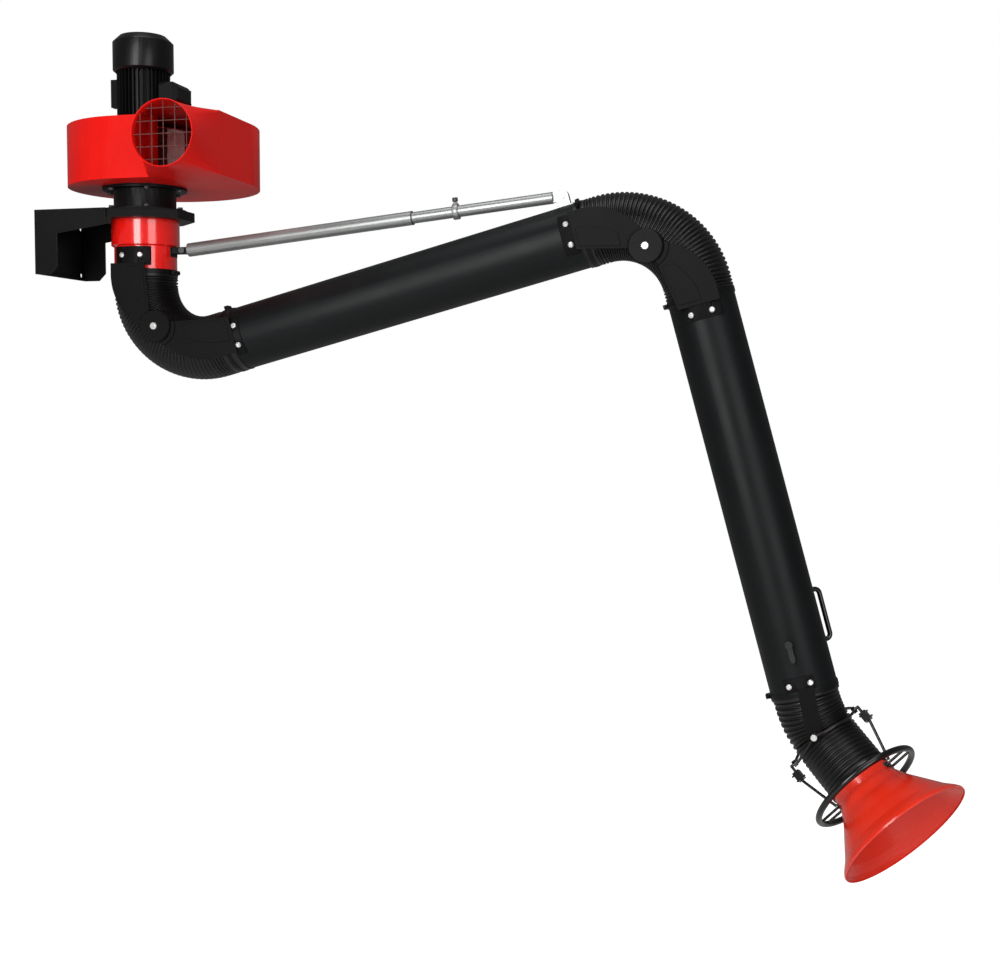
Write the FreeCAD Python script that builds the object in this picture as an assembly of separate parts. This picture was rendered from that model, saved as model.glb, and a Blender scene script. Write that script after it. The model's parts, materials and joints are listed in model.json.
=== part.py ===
import FreeCAD, Part
import math
import os

os.makedirs("parts", exist_ok=True)

# Frame: origin at the centre of the four wall holes, on the wall plate's back face.
# +X points out of the wall, +Z is up, and the arm lies in the plane y = 0.

# Layout of the arm (mm, degrees)
axis_x = 250.0
shoulder_out = 72.0
shoulder_drop = 213.0
upper_rise = 15.0
upper_span = 1261.0
pivot_offset = 80.5
lower_offset = 85.0
lower_lean = 15.15
link_reach = 1200.0
link_out = 3.0
hood_lean = 45.0
hood_roll = 26.0
ear_drop = 29.0

# Fits and overruns
over = 5.0
seat_gap = 0.3
touch_gap = 0.15
running_gap = 0.05
hole_gap = 0.3

# Wall bracket
plate_half = 123.5
plate_top = 88.0
plate_bottom = -77.0
sheet = 4.0
cheek_reach = 65.0
cheek_chamfer = 20.0
rim_end = 203.0
rim_root_low = 26.0
rim_end_low = 46.0
wall_hole_y = 100.0
wall_hole_z = 62.5
wall_hole_r = 5.5
tongue_r = 117.0

# Swivel under the bracket
ring_depth = 20.0
ring_lip = 6.0
recess_r = 94.5
collar_flange_r = 94.0
collar_flange = 4.0
collar_upper_r = 87.4
collar_step_z = -1.0
collar_lower_r = 80.2
collar_wall = 2.0
collar_step = 4.0
strip_wall = 6.0

# Bolt rings of the bracket and the fan
flange_r = 108.0
flange_bolt_ring = 100.0
flange_bolts = 6
bolt_r = 4.0
bolt_head_r = 7.5
bolt_head = 5.5
head_dome_share = 0.86
bolt_past = 5.0

# Inlet spigot
duct_r = 80.0
spigot_wall = 3.0
lower_flange = 4.0
upper_flange = 6.0
gasket_t = 1.4
casing_low = 149.4

# Fan casing: four-centre scroll about the fan axis
casing_high = 304.0
casing_wall = 2.0
scroll_r = (215.5, 240.5, 265.5)
scroll_x = (7.5, 32.5)
scroll_y = (29.5, 4.5)
scroll_front = 186.0
mouth_left = 105.0
tongue_curl = 20.0
inlet_r = 78.0
motor_hole_r = 60.0

# Outlet duct
outlet_x = 222.0
outlet_z = 227.0
outlet_front = 338.0
outlet_collar = 20.0
outlet_r = 79.5
mouth_corner = 6.0
guard_pitch = 30.0
guard_wire_r = 0.9
guard_depth = 12.0
guard_lines = 2

# Impeller
impeller_r = 150.0
impeller_low = 165.0
impeller_high = 286.0
blade_count = 18
blade_depth = 36.0
blade_chord = 70.0
blade_lean = 40.0
blade_t = 1.4
impeller_disc = 3.0
hub_r = 24.0
hub_long = 34.0

# Motor
motor_plate_r = 112.0
motor_plate_t = 4.0
motor_nut_ring = 100.0
motor_nuts = 6
motor_high = 452.0
fin_r = 68.0
fin_root_r = 57.0
fin_t = 2.4
fin_count = 36
fin_first = 5.0
motor_bore = 50.0
motor_floor = 14.0
stator_bore = 33.0
stator_ends = 14.0
rotor_inset = 2.5
shaft_r = 10.0
shaft_low = 250.0
shaft_high = 500.0
bearing_r = 20.0
bearing_t = 11.0
shield_t = 10.0
lug_r = 75.8
lug_half = 6.0
lug_first = 45.0
lug_count = 4
foot_out = 78.0
foot_half = 30.0
foot_low = 357.0
foot_high = 428.0
foot_slot = 9.0
cowl_r = 77.6
cowl_wall = 1.5
cowl_low = 446.0
cowl_turn = 522.0
cowl_shoulder = 539.0
cowl_high = 544.0
cowl_shoulder_r = 60.0
cowl_lip_r = 71.5
cowl_lip = 5.5
vent_count = 16
vent_in = 20.0
vent_out = 52.0
vent_half = 2.2
fan_r = 66.0
fan_low = 464.0
fan_high = 492.0
fan_blades = 7
fan_blade_t = 3.0
fan_disc = 3.0
box_in = 68.3
box_split = 99.0
box_out = 116.0
box_half = 50.0
box_low = 357.0
box_high = 412.0
box_corner = 8.0
lid_bevel = 12.0
lid_edge = 0.5
gland_r = 10.0
gland_long = 18.0
gland_bore = 5.0
gland_x = 84.0
gland_neck_r = 7.5

# Arm tubes and hoses
tube_r = 80.0
tube_wall = 1.5
hose_r = 82.0
hose_root_r = 77.6
hose_bore = 75.0
cuff_r = 81.3
cuff_bore = 80.3
rib_pitch = 8.4
shoulder_bend_r = 163.0
elbow_bend_r = 188.0
hose_hem = 2.0
rib_shares = (0.3, 0.5, 0.8)
rib_run_collar = 20.0
rib_run_arm = 32.0
rib_run_upper = 20.0
rib_run_lower = 26.0
hose_end_collar = 150.0
hose_end_arm = 188.0
hose_end_upper = 150.0
hose_end_lower = 150.0
band_out = 82.4
band_wide = 11.0
band_inset = 2.5
band_inset_upper = 8.0
band_inset_arm = 16.0
clamp_side_gap = 0.5
clamp_turn = 35.0
clamp_sink = 2.5
clamp_hug = 0.2
clamp_past = 5.0
clamp_block = 9.0
clamp_block_long = 24.0
clamp_screw_r = 3.0
clamp_screw_long = 34.0

# Side plates of the pivots
plate_in = 82.6
side_plate_t = 2.5
eye_r = 42.0
neck_in = 44.5
neck_wall = 47.0
neck_out = 53.0
friction_t = 1.8
disc_t = 9.0
disc_bevel = 3.0
stud_r = 5.0
stud_head_r = 10.5
stud_head = 0.8
pivot_nut_r = 9.0
pivot_nut = 7.0
pivot_nut_rim_share = 0.7
pivot_nut_top_share = 0.8
stud_tip = 3.0
stud_start = 0.5
friction_inset = 1.0
plate_reach = 150.0
collar_plate_shape = (40.0, 56.0, 20.0)
arm_plate_shape = (50.0, 42.0, 0.0)
upper_plate_shape = (40.0, 50.0, 8.0)
lower_plate_shape = (50.0, 50.0, 14.0)
plate_arc_shares = ((0.30, 0.68), (0.78, 1.0))
panel_shares = ((0.36, 0.62), (0.62, 0.94), (0.97, 1.10))
panel_margin = 6.0
panel_high = 2.2
saddle_wall = 3.2
saddle_half = 49.0
screw_side = 25.0
screw_r = 3.0
screw_head_r = 7.0
screw_head = 5.0
screw_rim_share = 0.35
screw_top_share = 0.6
screw_past = 1.0

# Saddle ends and screw places along each tube, from the pivot
collar_tab = (158.0, 206.0)
collar_screw_s = 184.0
arm_tab = (192.0, 216.0)
arm_screw_s = 203.0
upper_tab = (156.0, 190.0)
upper_screw_s = 172.0
lower_tab = (160.0, 200.0)
lower_screw_s = 184.0

# Brace
brace_foot_x = 110.0
brace_foot_z = 199.0
brace_head_x = 1043.0
brace_head_z = 305.0
brace_outer_r = 17.5
brace_outer_wall = 2.5
brace_outer_end = 625.0
brace_inner_r = 14.3
brace_inner_wall = 2.0
brace_inner_start = 70.0
brace_inner_end = 986.0
brace_cap = 10.0
brace_plug = 8.0
brace_gap = 5.0
bush_lip = 2.5
tongue_relief = 2.5
weld = 1.0
pin_cap_share = 1.6
foot_pin_r = 5.0
head_pin_r = 3.6
head_eye_r = 15.0
head_eye_bore = 11.8
tongue_half = 4.0
clevis_half = 9.0
clevis_wall = 4.0
clevis_high = 8.5
clevis_tip = 9.0
clevis_base_half = 16.0
ear_wall = 3.0
ear_gap = 2.0
ear_foot = 22.0
stop_gap = 108.0
stop_r = 19.5
stop_wide = 14.0
stop_screw_r = 3.5
stop_knob_r = 7.0
stop_knob = 9.0
stop_neck = 6.0
stop_boss_r = 6.3
stop_tip_gap = 1.0

# Lower tube, damper, handle and link plates
tube_end = 1115.0
damper_s = 981.0
damper_shaft_r = 4.0
damper_blade_r = 76.5
damper_blade_t = 2.0
lever_half = 6.0
lever_long = 38.0
lever_t = 3.0
knob_r = 9.0
knob_t = 9.0
lever_gap = 10.0
clip_r = 6.8
clip_in = 2.5
clip_out = 5.0
shaft_past_lever = 15.0
handle_s0 = 878.0
handle_s1 = 1012.0
handle_out = 22.0
handle_bar_r = 6.0
handle_turn = 30.0
handle_bend = 12.0
handle_pad_r = 10.2
handle_pad = 2.5
link_half = 19.0
link_top_out = 12.0
link_saddle_half = 36.0
link_tab = (1062.0, 1093.0)
link_screw_s = 1079.0
band_s = 1097.0

# Hood and gimbal
gimbal_r = 100.0
gimbal_wire_r = 3.5
gimbal_eye_r = 8.0
gimbal_eye_half = 4.5
gimbal_bolt_r = 4.0
gimbal_cap_r = 7.2
gimbal_foot_r = 7.3
gimbal_spacer_r = 6.4
rod_r = 3.5
rod_out = 107.0
rod_in = 90.0
rod_knee = 46.0
rod_foot = 140.0
rod_foot_out = 82.6
rod_clamp_half = 9.0
rod_clamp_long = 24.0
rod_clamp_screw_r = 2.2
rod_clamp_back = 5.0
rod_clamp_foot = 2.5
neck_r = 76.0
neck_low = 118.0
hood_wall = 2.0
hood_shape = ((158.0, 76.0), (192.0, 95.0), (262.0, 146.0), (280.0, 163.0), (288.0, 168.7))
hood_lip = 4.0
hose_hood_r = 77.8
hood_curve_shares = (0.2, 0.28)
hose_bore_steps = 12
hose_neck_r = 78.2
hood_band_out = 78.4
neck_hose_s = 136.0
hood_cuff = 20.0
hood_split = 0.47
hose_sway = 11.0
handle_ring_r = 133.0
handle_tube_r = 7.5
handle_s = 151.0
handle_pad_wide = 12.0
handle_pad_more = 9.0
spoke_r = 3.2
spoke_side = 20.0


def vec(x, y, z):
    return FreeCAD.Vector(x, y, z)


def point(v):
    return FreeCAD.Vector(v.x, v.y, v.z)


def basis(origin, x_dir, y_dir, z_dir):
    matrix = FreeCAD.Matrix(x_dir.x, y_dir.x, z_dir.x, origin.x,
                            x_dir.y, y_dir.y, z_dir.y, origin.y,
                            x_dir.z, y_dir.z, z_dir.z, origin.z,
                            0, 0, 0, 1)
    return FreeCAD.Placement(matrix)


def frame(origin, along, out):
    return basis(origin, along, out.cross(along), out)


def put(shape, place):
    moved = shape.copy()
    moved.Placement = place.multiply(moved.Placement)
    return moved


def rod(radius, start, end):
    line = end.sub(start)
    return Part.makeCylinder(radius, line.Length, start, line)


def pipe(radius, bore, start, end):
    line = end.sub(start)
    unit = point(line).normalize()
    inner = rod(bore, start.sub(unit * over), end.add(unit * over))
    return rod(radius, start, end).cut(inner)


def post(radius, low, high, x=0, y=0):
    return rod(radius, vec(x, y, low), vec(x, y, high))


def ring(radius, bore, low, high, x=0, y=0):
    return pipe(radius, bore, vec(x, y, low), vec(x, y, high))


def block(x0, x1, y0, y1, z0, z1):
    return Part.makeBox(x1 - x0, y1 - y0, z1 - z0, vec(x0, y0, z0))


def fuse(shapes):
    return shapes[0].multiFuse(shapes[1:]).removeSplitter()


def turned(shape, centre, axis, angle):
    copy = shape.copy()
    copy.rotate(centre, axis, angle)
    return copy


def around(shape, count, x=0, y=0, first=0.0):
    step = 360.0 / count
    return [turned(shape, vec(x, y, 0), vec(0, 0, 1), first + step * i) for i in range(count)]


def spun(profile, x=0, y=0):
    points = [vec(x + r, y, z) for r, z in profile]
    face = Part.Face(Part.makePolygon(points + points[:1]))
    return face.revolve(vec(x, y, 0), vec(0, 0, 1), 360)


def slab(points, low, thick):
    flat = [vec(x, y, low) for x, y in points]
    return Part.Face(Part.makePolygon(flat + flat[:1])).extrude(vec(0, 0, thick))


def side_slab(points, y0, y1):
    flat = [vec(x, y0, z) for x, z in points]
    return Part.Face(Part.makePolygon(flat + flat[:1])).extrude(vec(0, y1 - y0, 0))


def arc(a, b, c):
    return Part.Arc(a, b, c).toShape()


def save(name, shapes):
    solids = shapes if isinstance(shapes, list) else [shapes]
    shape = solids[0] if len(solids) == 1 else Part.makeCompound(solids)
    shape.exportStep("parts/" + name + ".step")


def both(make):
    return [make(side) for side in (-1, 1)]


# Places and directions of the links
up = vec(0, 0, 1)
wall_out = vec(1, 0, 0)
side_dir = vec(0, 1, 0)
rise = math.radians(upper_rise)
lean = math.radians(lower_lean)
tip = math.radians(hood_lean)
roll = math.radians(hood_roll)
upper_dir = vec(math.cos(rise), 0, math.sin(rise))
upper_out = vec(-math.sin(rise), 0, math.cos(rise))
lower_dir = vec(math.sin(lean), 0, -math.cos(lean))
lower_out = vec(math.cos(lean), 0, math.sin(lean))
hang_dir = vec(math.sin(tip), 0, -math.cos(tip))
ear_dir = vec(math.cos(tip), 0, math.sin(tip))
hood_dir = hang_dir * math.cos(roll) - side_dir * math.sin(roll)

shoulder = vec(axis_x + shoulder_out, 0, -shoulder_drop)
elbow = shoulder + upper_dir * upper_span - upper_out * (2 * pivot_offset)
link = elbow + lower_dir * link_reach + lower_out * (lower_offset + link_out)
ear = link + hang_dir * ear_drop

# Frames: x runs along the tube away from the pivot, z points to the outside of the bend
collar_frame = frame(shoulder, up, wall_out * -1)
arm_frame = frame(shoulder, upper_dir, upper_out * -1)
upper_frame = frame(elbow, upper_dir * -1, upper_out)
lower_frame = frame(elbow, lower_dir, lower_out)
hang_frame = frame(link, hang_dir, ear_dir)
hood_frame = frame(ear, hood_dir, ear_dir)


def hex_bolt(head_r, head, shank_r, shank):
    # head above z = 0, shank below
    turns = [math.pi * i / 3 for i in range(6)]
    points = [vec(head_r * math.cos(a), head_r * math.sin(a), 0) for a in turns]
    top = Part.Face(Part.makePolygon(points + points[:1])).extrude(vec(0, 0, head))
    dome = spun([(0, 0), (head_r, 0), (head_r * head_dome_share, head), (0, head)])
    return top.common(dome).fuse(post(shank_r, -shank, 0)).removeSplitter()


def upside(shape):
    return turned(shape, vec(0, 0, 0), wall_out, 180)


def lifted(shape, z, x=0, y=0):
    copy = shape.copy()
    copy.translate(vec(x, y, z))
    return copy


# Wall bracket
def octagon(flat_r, low, high):
    corner = flat_r / math.cos(math.pi / 8)
    turns = [math.pi * (2 * i + 1) / 8 for i in range(8)]
    return slab([(axis_x + corner * math.cos(a), corner * math.sin(a)) for a in turns], low, high - low)


def wall_bracket():
    back = block(0, sheet, -plate_half, plate_half, plate_bottom, plate_top)
    cheek = [(0, plate_bottom), (cheek_reach - cheek_chamfer, plate_bottom),
             (cheek_reach, plate_bottom + cheek_chamfer), (cheek_reach, rim_root_low),
             (rim_end, rim_end_low), (rim_end, plate_top), (0, plate_top)]
    near = side_slab(cheek, -plate_half, -plate_half + sheet)
    far = side_slab(cheek, plate_half - sheet, plate_half)
    top = block(0, rim_end, -plate_half, plate_half, plate_top - sheet, plate_top)
    tongue = octagon(tongue_r, plate_top - sheet, plate_top)
    body = fuse([back, near, far, top, tongue])
    body = body.cut(post(duct_r, plate_bottom, plate_top + over, axis_x))
    for y in (-wall_hole_y, wall_hole_y):
        for z in (-wall_hole_z, wall_hole_z):
            body = body.cut(rod(wall_hole_r, vec(-over, y, z), vec(sheet + over, y, z)))
    hole = post(bolt_r + hole_gap, plate_top - sheet - over, plate_top + over,
                axis_x + flange_bolt_ring)
    for cut in around(hole, flange_bolts, axis_x):
        body = body.cut(cut)
    return body


ring_top = plate_top - sheet
ring_low = ring_top - ring_depth


def swivel_ring():
    body = octagon(tongue_r, ring_low, ring_top)
    body = body.cut(post(collar_upper_r + seat_gap, ring_low - over, ring_top, axis_x))
    body = body.cut(post(recess_r, ring_low + ring_lip, ring_top + over, axis_x))
    hole = post(bolt_r + running_gap, ring_low + ring_lip / 2, ring_top + over, axis_x + flange_bolt_ring)
    for cut in around(hole, flange_bolts, axis_x):
        body = body.cut(cut)
    return body


flange_seat = ring_low + ring_lip + touch_gap
flange_top = flange_seat + collar_flange


def retaining_ring():
    return ring(recess_r - seat_gap, recess_r - strip_wall, flange_top + touch_gap, ring_top, axis_x)


def bracket_bolts():
    shank = plate_top + lower_flange - ring_low - ring_lip
    bolt = lifted(hex_bolt(bolt_head_r, bolt_head, bolt_r, shank), plate_top + lower_flange,
                  axis_x + flange_bolt_ring)
    return around(bolt, flange_bolts, axis_x)


spigot_high = casing_low - gasket_t


def inlet_spigot():
    wall = ring(duct_r, duct_r - spigot_wall, plate_top, spigot_high, axis_x)
    foot = ring(flange_r, duct_r - spigot_wall, plate_top, plate_top + lower_flange, axis_x)
    head = ring(flange_r, duct_r - spigot_wall, spigot_high - upper_flange, spigot_high, axis_x)
    body = fuse([wall, foot, head])
    hole = post(bolt_r + hole_gap, plate_top - over, spigot_high + over, axis_x + flange_bolt_ring)
    for cut in around(hole, flange_bolts, axis_x):
        body = body.cut(cut)
    return body


def flange_gasket():
    body = ring(flange_r, inlet_r, spigot_high, casing_low, axis_x)
    hole = post(bolt_r + hole_gap, spigot_high - over, casing_low + over, axis_x + flange_bolt_ring)
    for cut in around(hole, flange_bolts, axis_x):
        body = body.cut(cut)
    return body


def casing_bolts():
    grip = upper_flange + gasket_t + casing_wall
    bolt = upside(hex_bolt(bolt_head_r, bolt_head, bolt_r, grip + bolt_head + touch_gap))
    nut = spun([(bolt_r + running_gap, 0), (bolt_head_r, 0), (bolt_head_r, bolt_head),
                (bolt_r + running_gap, bolt_head)])
    bolt = lifted(bolt, spigot_high - upper_flange, axis_x + flange_bolt_ring)
    nut = lifted(nut, casing_low + casing_wall, axis_x + flange_bolt_ring)
    return around(bolt, flange_bolts, axis_x) + around(nut, flange_bolts, axis_x)


# Fan casing
def scroll_face(inset, z):
    # volute of three arcs about stepped centres, closed by a straight side and a straight front
    x0, x1 = scroll_x
    y0, y1 = scroll_y
    r0, r1, r2 = [r - inset for r in scroll_r]
    half = math.sqrt(0.5)
    a = vec(x0, y0 - r0, z)
    b = vec(x0 - r0, y0, z)
    c = vec(x1, y0 + r1, z)
    d = vec(x1 + r2, y1, z)
    e = vec(x1 + r2, y0 - r0, z)
    edges = [arc(a, vec(x0 - r0 * half, y0 - r0 * half, z), b),
             arc(b, vec(x1 - r1 * half, y0 + r1 * half, z), c),
             arc(c, vec(x1 + r2 * half, y1 + r2 * half, z), d),
             Part.makeLine(d, e), Part.makeLine(e, a)]
    face = Part.Face(Part.Wire(edges))
    face.translate(vec(axis_x, 0, 0))
    return face


scroll_right = scroll_x[1] + scroll_r[2]


def fan_casing():
    high = casing_high - casing_low
    body = scroll_face(0, casing_low).extrude(vec(0, 0, high))
    hollow = scroll_face(casing_wall, casing_low + casing_wall).extrude(vec(0, 0, high - 2 * casing_wall))
    body = body.cut(hollow)
    mouth = block(axis_x + mouth_left, axis_x + scroll_right - casing_wall,
                  -scroll_front - over, -scroll_front + casing_wall + over,
                  casing_low + casing_wall, casing_high - casing_wall)
    body = body.cut(mouth)
    curl = ring(tongue_curl, tongue_curl - casing_wall, casing_low + casing_wall,
                casing_high - casing_wall, axis_x + mouth_left, -scroll_front + tongue_curl)
    quarter = block(axis_x + mouth_left, axis_x + mouth_left + tongue_curl + over,
                    -scroll_front - over, -scroll_front + tongue_curl,
                    casing_low, casing_high)
    body = body.fuse(curl.common(quarter)).removeSplitter()
    body = body.cut(post(inlet_r, casing_low - over, casing_low + casing_wall + over, axis_x))
    body = body.cut(post(motor_hole_r, casing_high - casing_wall - over, casing_high + over, axis_x))
    low_hole = post(bolt_r + hole_gap, casing_low - over, casing_low + casing_wall + over,
                    axis_x + flange_bolt_ring)
    high_hole = post(bolt_r + hole_gap, casing_high - casing_wall - over, casing_high + over,
                     axis_x + motor_nut_ring)
    for cut in around(low_hole, flange_bolts, axis_x) + around(high_hole, motor_nuts, axis_x):
        body = body.cut(cut)
    return body


def mouth_wire(inset, y):
    x0 = axis_x + mouth_left + inset
    x1 = axis_x + scroll_right - inset
    z0 = casing_low + inset
    z1 = casing_high - inset
    r = mouth_corner
    k = r * (1 - math.sqrt(0.5))
    edges = [Part.makeLine(vec(x0 + r, y, z0), vec(x1 - r, y, z0)),
             arc(vec(x1 - r, y, z0), vec(x1 - k, y, z0 + k), vec(x1, y, z0 + r)),
             Part.makeLine(vec(x1, y, z0 + r), vec(x1, y, z1 - r)),
             arc(vec(x1, y, z1 - r), vec(x1 - k, y, z1 - k), vec(x1 - r, y, z1)),
             Part.makeLine(vec(x1 - r, y, z1), vec(x0 + r, y, z1)),
             arc(vec(x0 + r, y, z1), vec(x0 + k, y, z1 - k), vec(x0, y, z1 - r)),
             Part.makeLine(vec(x0, y, z1 - r), vec(x0, y, z0 + r)),
             arc(vec(x0, y, z0 + r), vec(x0 + k, y, z0 + k), vec(x0 + r, y, z0))]
    return Part.Wire(edges)


def rim_wire(radius, y):
    # circle cut into eight arcs that meet the eight edges of the mouth
    stops = (-125, -55, -35, 35, 55, 125, 145, 215, 235)

    def on(angle):
        a = math.radians(angle)
        return vec(axis_x + outlet_x + radius * math.cos(a), y, outlet_z + radius * math.sin(a))

    edges = [arc(on(a), on((a + b) / 2), on(b)) for a, b in zip(stops, stops[1:])]
    return Part.Wire(edges)


def outlet_duct():
    neck_y = -outlet_front + outlet_collar
    outer = Part.makeLoft([mouth_wire(0, -scroll_front), rim_wire(outlet_r, neck_y)], True, True)
    inner = Part.makeLoft([mouth_wire(casing_wall, -scroll_front), rim_wire(outlet_r - casing_wall, neck_y)],
                          True, True)
    start = vec(axis_x + outlet_x, neck_y, outlet_z)
    end = vec(axis_x + outlet_x, -outlet_front, outlet_z)
    collar = pipe(outlet_r, outlet_r - casing_wall, start, end)
    return outer.cut(inner).fuse(collar).removeSplitter()


def outlet_guard():
    # upright wires with level wires behind them, each from wall to wall of the outlet
    centre = vec(axis_x + outlet_x, -outlet_front + guard_depth, outlet_z)
    inside = outlet_r - casing_wall - touch_gap
    front = centre - side_dir * guard_wire_r
    back = centre + side_dir * guard_wire_r
    wires = []
    for i in range(-guard_lines, guard_lines + 1):
        off = i * guard_pitch
        half = math.sqrt(inside ** 2 - (abs(off) + guard_wire_r) ** 2)
        wires.append(rod(guard_wire_r, front + vec(off, 0, -half), front + vec(off, 0, half)))
        wires.append(rod(guard_wire_r, back + vec(-half, 0, off), back + vec(half, 0, off)))
    return wires


# Impeller and motor
def impeller():
    # back disc with its hub, front ring and leaning flat blades between them
    top = ring(impeller_r, shaft_r, impeller_high - impeller_disc, impeller_high, axis_x)
    hub = ring(hub_r, shaft_r, impeller_high - hub_long, impeller_high, axis_x)
    low = ring(impeller_r, impeller_r - blade_depth, impeller_low, impeller_low + impeller_disc, axis_x)
    blade = block(-blade_chord, 0, 0, blade_t, impeller_low + impeller_disc, impeller_high - impeller_disc)
    blade = turned(blade, vec(0, 0, 0), up, 90 - blade_lean)
    blade.translate(vec(axis_x + impeller_r - blade_t, 0, 0))
    return [fuse([top, hub]), low] + around(blade, blade_count, axis_x)


motor_low = casing_high + motor_plate_t


def motor_plate():
    body = ring(motor_plate_r, shaft_r + over, casing_high, motor_low, axis_x)
    hole = post(bolt_r + hole_gap, casing_high - over, motor_low + over, axis_x + motor_nut_ring)
    for cut in around(hole, motor_nuts, axis_x):
        body = body.cut(cut)
    return body


def motor_plate_bolts():
    bolt = hex_bolt(bolt_head_r, bolt_head, bolt_r, motor_plate_t + casing_wall + bolt_past)
    bolt = lifted(bolt, motor_low, axis_x + motor_nut_ring)
    return around(bolt, motor_nuts, axis_x)


def motor_housing():
    core = ring(fin_root_r, motor_bore, motor_low, motor_high, axis_x)
    floor = ring(fin_root_r, bearing_r + seat_gap, motor_low, motor_low + motor_floor, axis_x)
    flange = ring(fin_r, fin_root_r - over, motor_low, motor_low + motor_floor, axis_x)
    fin = block(axis_x + fin_root_r - over, axis_x + fin_r, -fin_t / 2, fin_t / 2, motor_low, motor_high)
    fins = around(fin, fin_count, axis_x, 0, fin_first)
    foot = block(axis_x - foot_out, axis_x - fin_root_r, -foot_half, foot_half, foot_low, foot_high)
    slot = block(axis_x - foot_out - over, axis_x - fin_r, -foot_slot, foot_slot,
                 foot_low - over, foot_high + over)
    pad = block(axis_x + fin_root_r - over, axis_x + box_in, -box_half / 2, box_half / 2,
                foot_low, box_high - foot_slot)
    return fuse([core, floor, flange] + fins + [foot.cut(slot), pad])


def motor_stator():
    return ring(motor_bore - touch_gap, stator_bore, motor_low + motor_floor + stator_ends,
                motor_high - shield_t - stator_ends, axis_x)


def motor_rotor():
    low = motor_low + motor_floor + stator_ends + rotor_inset
    high = motor_high - shield_t - stator_ends - rotor_inset
    return ring(stator_bore - seat_gap - touch_gap, shaft_r, low, high, axis_x)


def motor_shaft():
    return post(shaft_r, shaft_low, shaft_high, axis_x)


def motor_bearings():
    low = ring(bearing_r, shaft_r + running_gap, motor_low + touch_gap, motor_low + bearing_t, axis_x)
    high = ring(bearing_r, shaft_r + running_gap, motor_high - shield_t, motor_high - touch_gap, axis_x)
    return [low, high]


def rear_shield():
    plug = ring(motor_bore - touch_gap, bearing_r + touch_gap, motor_high - shield_t, motor_high, axis_x)
    cap = ring(fin_root_r, bearing_r + touch_gap, motor_high, motor_high + sheet, axis_x)
    lug = block(axis_x + motor_bore, axis_x + lug_r, -lug_half, lug_half, motor_high, motor_high + sheet)
    return fuse([plug, cap] + around(lug, lug_count, axis_x, 0, lug_first))


def fan_cowl():
    t = cowl_wall
    profile = [(cowl_lip_r, cowl_low), (cowl_r, cowl_low + cowl_lip), (cowl_r, cowl_turn),
               (cowl_shoulder_r, cowl_shoulder), (0, cowl_high), (0, cowl_high - t),
               (cowl_shoulder_r - t, cowl_shoulder - t), (cowl_r - t, cowl_turn - t / 2),
               (cowl_r - t, cowl_low + cowl_lip), (cowl_lip_r - t, cowl_low)]
    body = spun(profile, axis_x)
    vent = block(axis_x + vent_in, axis_x + vent_out, -vent_half, vent_half, cowl_turn, cowl_high + over)
    for cut in around(vent, vent_count, axis_x):
        body = body.cut(cut)
    return body


def cooling_fan():
    hub = ring(hub_r, shaft_r, fan_low, fan_high, axis_x)
    disc = ring(fan_r, shaft_r, fan_low, fan_low + fan_disc, axis_x)
    blade = block(axis_x + hub_r - over, axis_x + fan_r, -fan_blade_t / 2, fan_blade_t / 2,
                  fan_low, fan_high)
    return fuse([hub, disc] + around(blade, fan_blades, axis_x))


def terminal_box():
    body = block(axis_x + box_in, axis_x + box_split, -box_half, box_half, box_low, box_high)
    inner = block(axis_x + box_in + sheet, axis_x + box_split + over, -box_half + sheet, box_half - sheet,
                  box_low + sheet, box_high - sheet)
    hole = post(gland_neck_r + hole_gap, box_low - over, box_low + sheet + over, axis_x + gland_x)
    return rounded(body, box_corner, wall_out).cut(inner).cut(hole)


def rounded(shape, radius, direction):
    edges = [e for e in shape.Edges
             if abs(abs(e.tangentAt(e.FirstParameter).dot(direction)) - 1) < 1e-6]
    return shape.makeFillet(radius, edges)


def terminal_lid():
    body = block(axis_x + box_split, axis_x + box_out, -box_half, box_half, box_low, box_high)
    body = rounded(body, box_corner, wall_out)
    face = [e for e in body.Edges if e.BoundBox.XMin > axis_x + box_out - lid_edge]
    return body.makeChamfer(lid_bevel, face)


def cable_gland():
    neck_part = ring(gland_neck_r, gland_bore, box_low - gland_long / 3, box_low + sheet + over,
                     axis_x + gland_x)
    nut = ring(gland_r, gland_bore, box_low - gland_long, box_low, axis_x + gland_x)
    return neck_part.fuse(nut).removeSplitter()


# Hoses: straight, arc, straight, with circles across the path
def bend_path(frame_a, off_a, frame_b, off_b, radius):
    # axes of the two tubes, from the pivot outwards
    a0 = frame_a.multVec(vec(0, 0, off_a))
    a1 = frame_a.multVec(vec(radius, 0, off_a))
    b0 = frame_b.multVec(vec(0, 0, off_b))
    b1 = frame_b.multVec(vec(radius, 0, off_b))
    u = (a1 - a0).normalize()
    w = (b1 - b0).normalize()
    cross = u.x * w.z - u.z * w.x
    gap = b0 - a0
    reach = (gap.x * w.z - gap.z * w.x) / cross
    corner = a0 + u * reach
    turn = math.pi - math.acos(u.dot(w))
    tangent = radius * math.tan(turn / 2)
    start_s = tangent + reach
    end_s = tangent + (corner - b0).dot(w)
    return {"u": u, "w": w, "corner": corner, "turn": turn, "tangent": tangent, "radius": radius,
            "start": start_s, "end": end_s}


def bend_point(path, d):
    # d = 0 where the arc starts; negative along the first tube
    u = path["u"]
    w = path["w"]
    start = path["corner"] + u * path["tangent"]
    end = path["corner"] + w * path["tangent"]
    arc_long = path["radius"] * path["turn"]
    if d <= 0:
        return start - u * d, u * -1
    if d >= arc_long:
        return end + w * (d - arc_long), w
    inward = (w + u * math.cos(path["turn"])).normalize()
    centre = start + inward * path["radius"]
    a = d / path["radius"]
    spot = centre + inward * (-path["radius"] * math.cos(a)) - u * (path["radius"] * math.sin(a))
    return spot, inward * math.sin(a) - u * math.cos(a)


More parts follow.
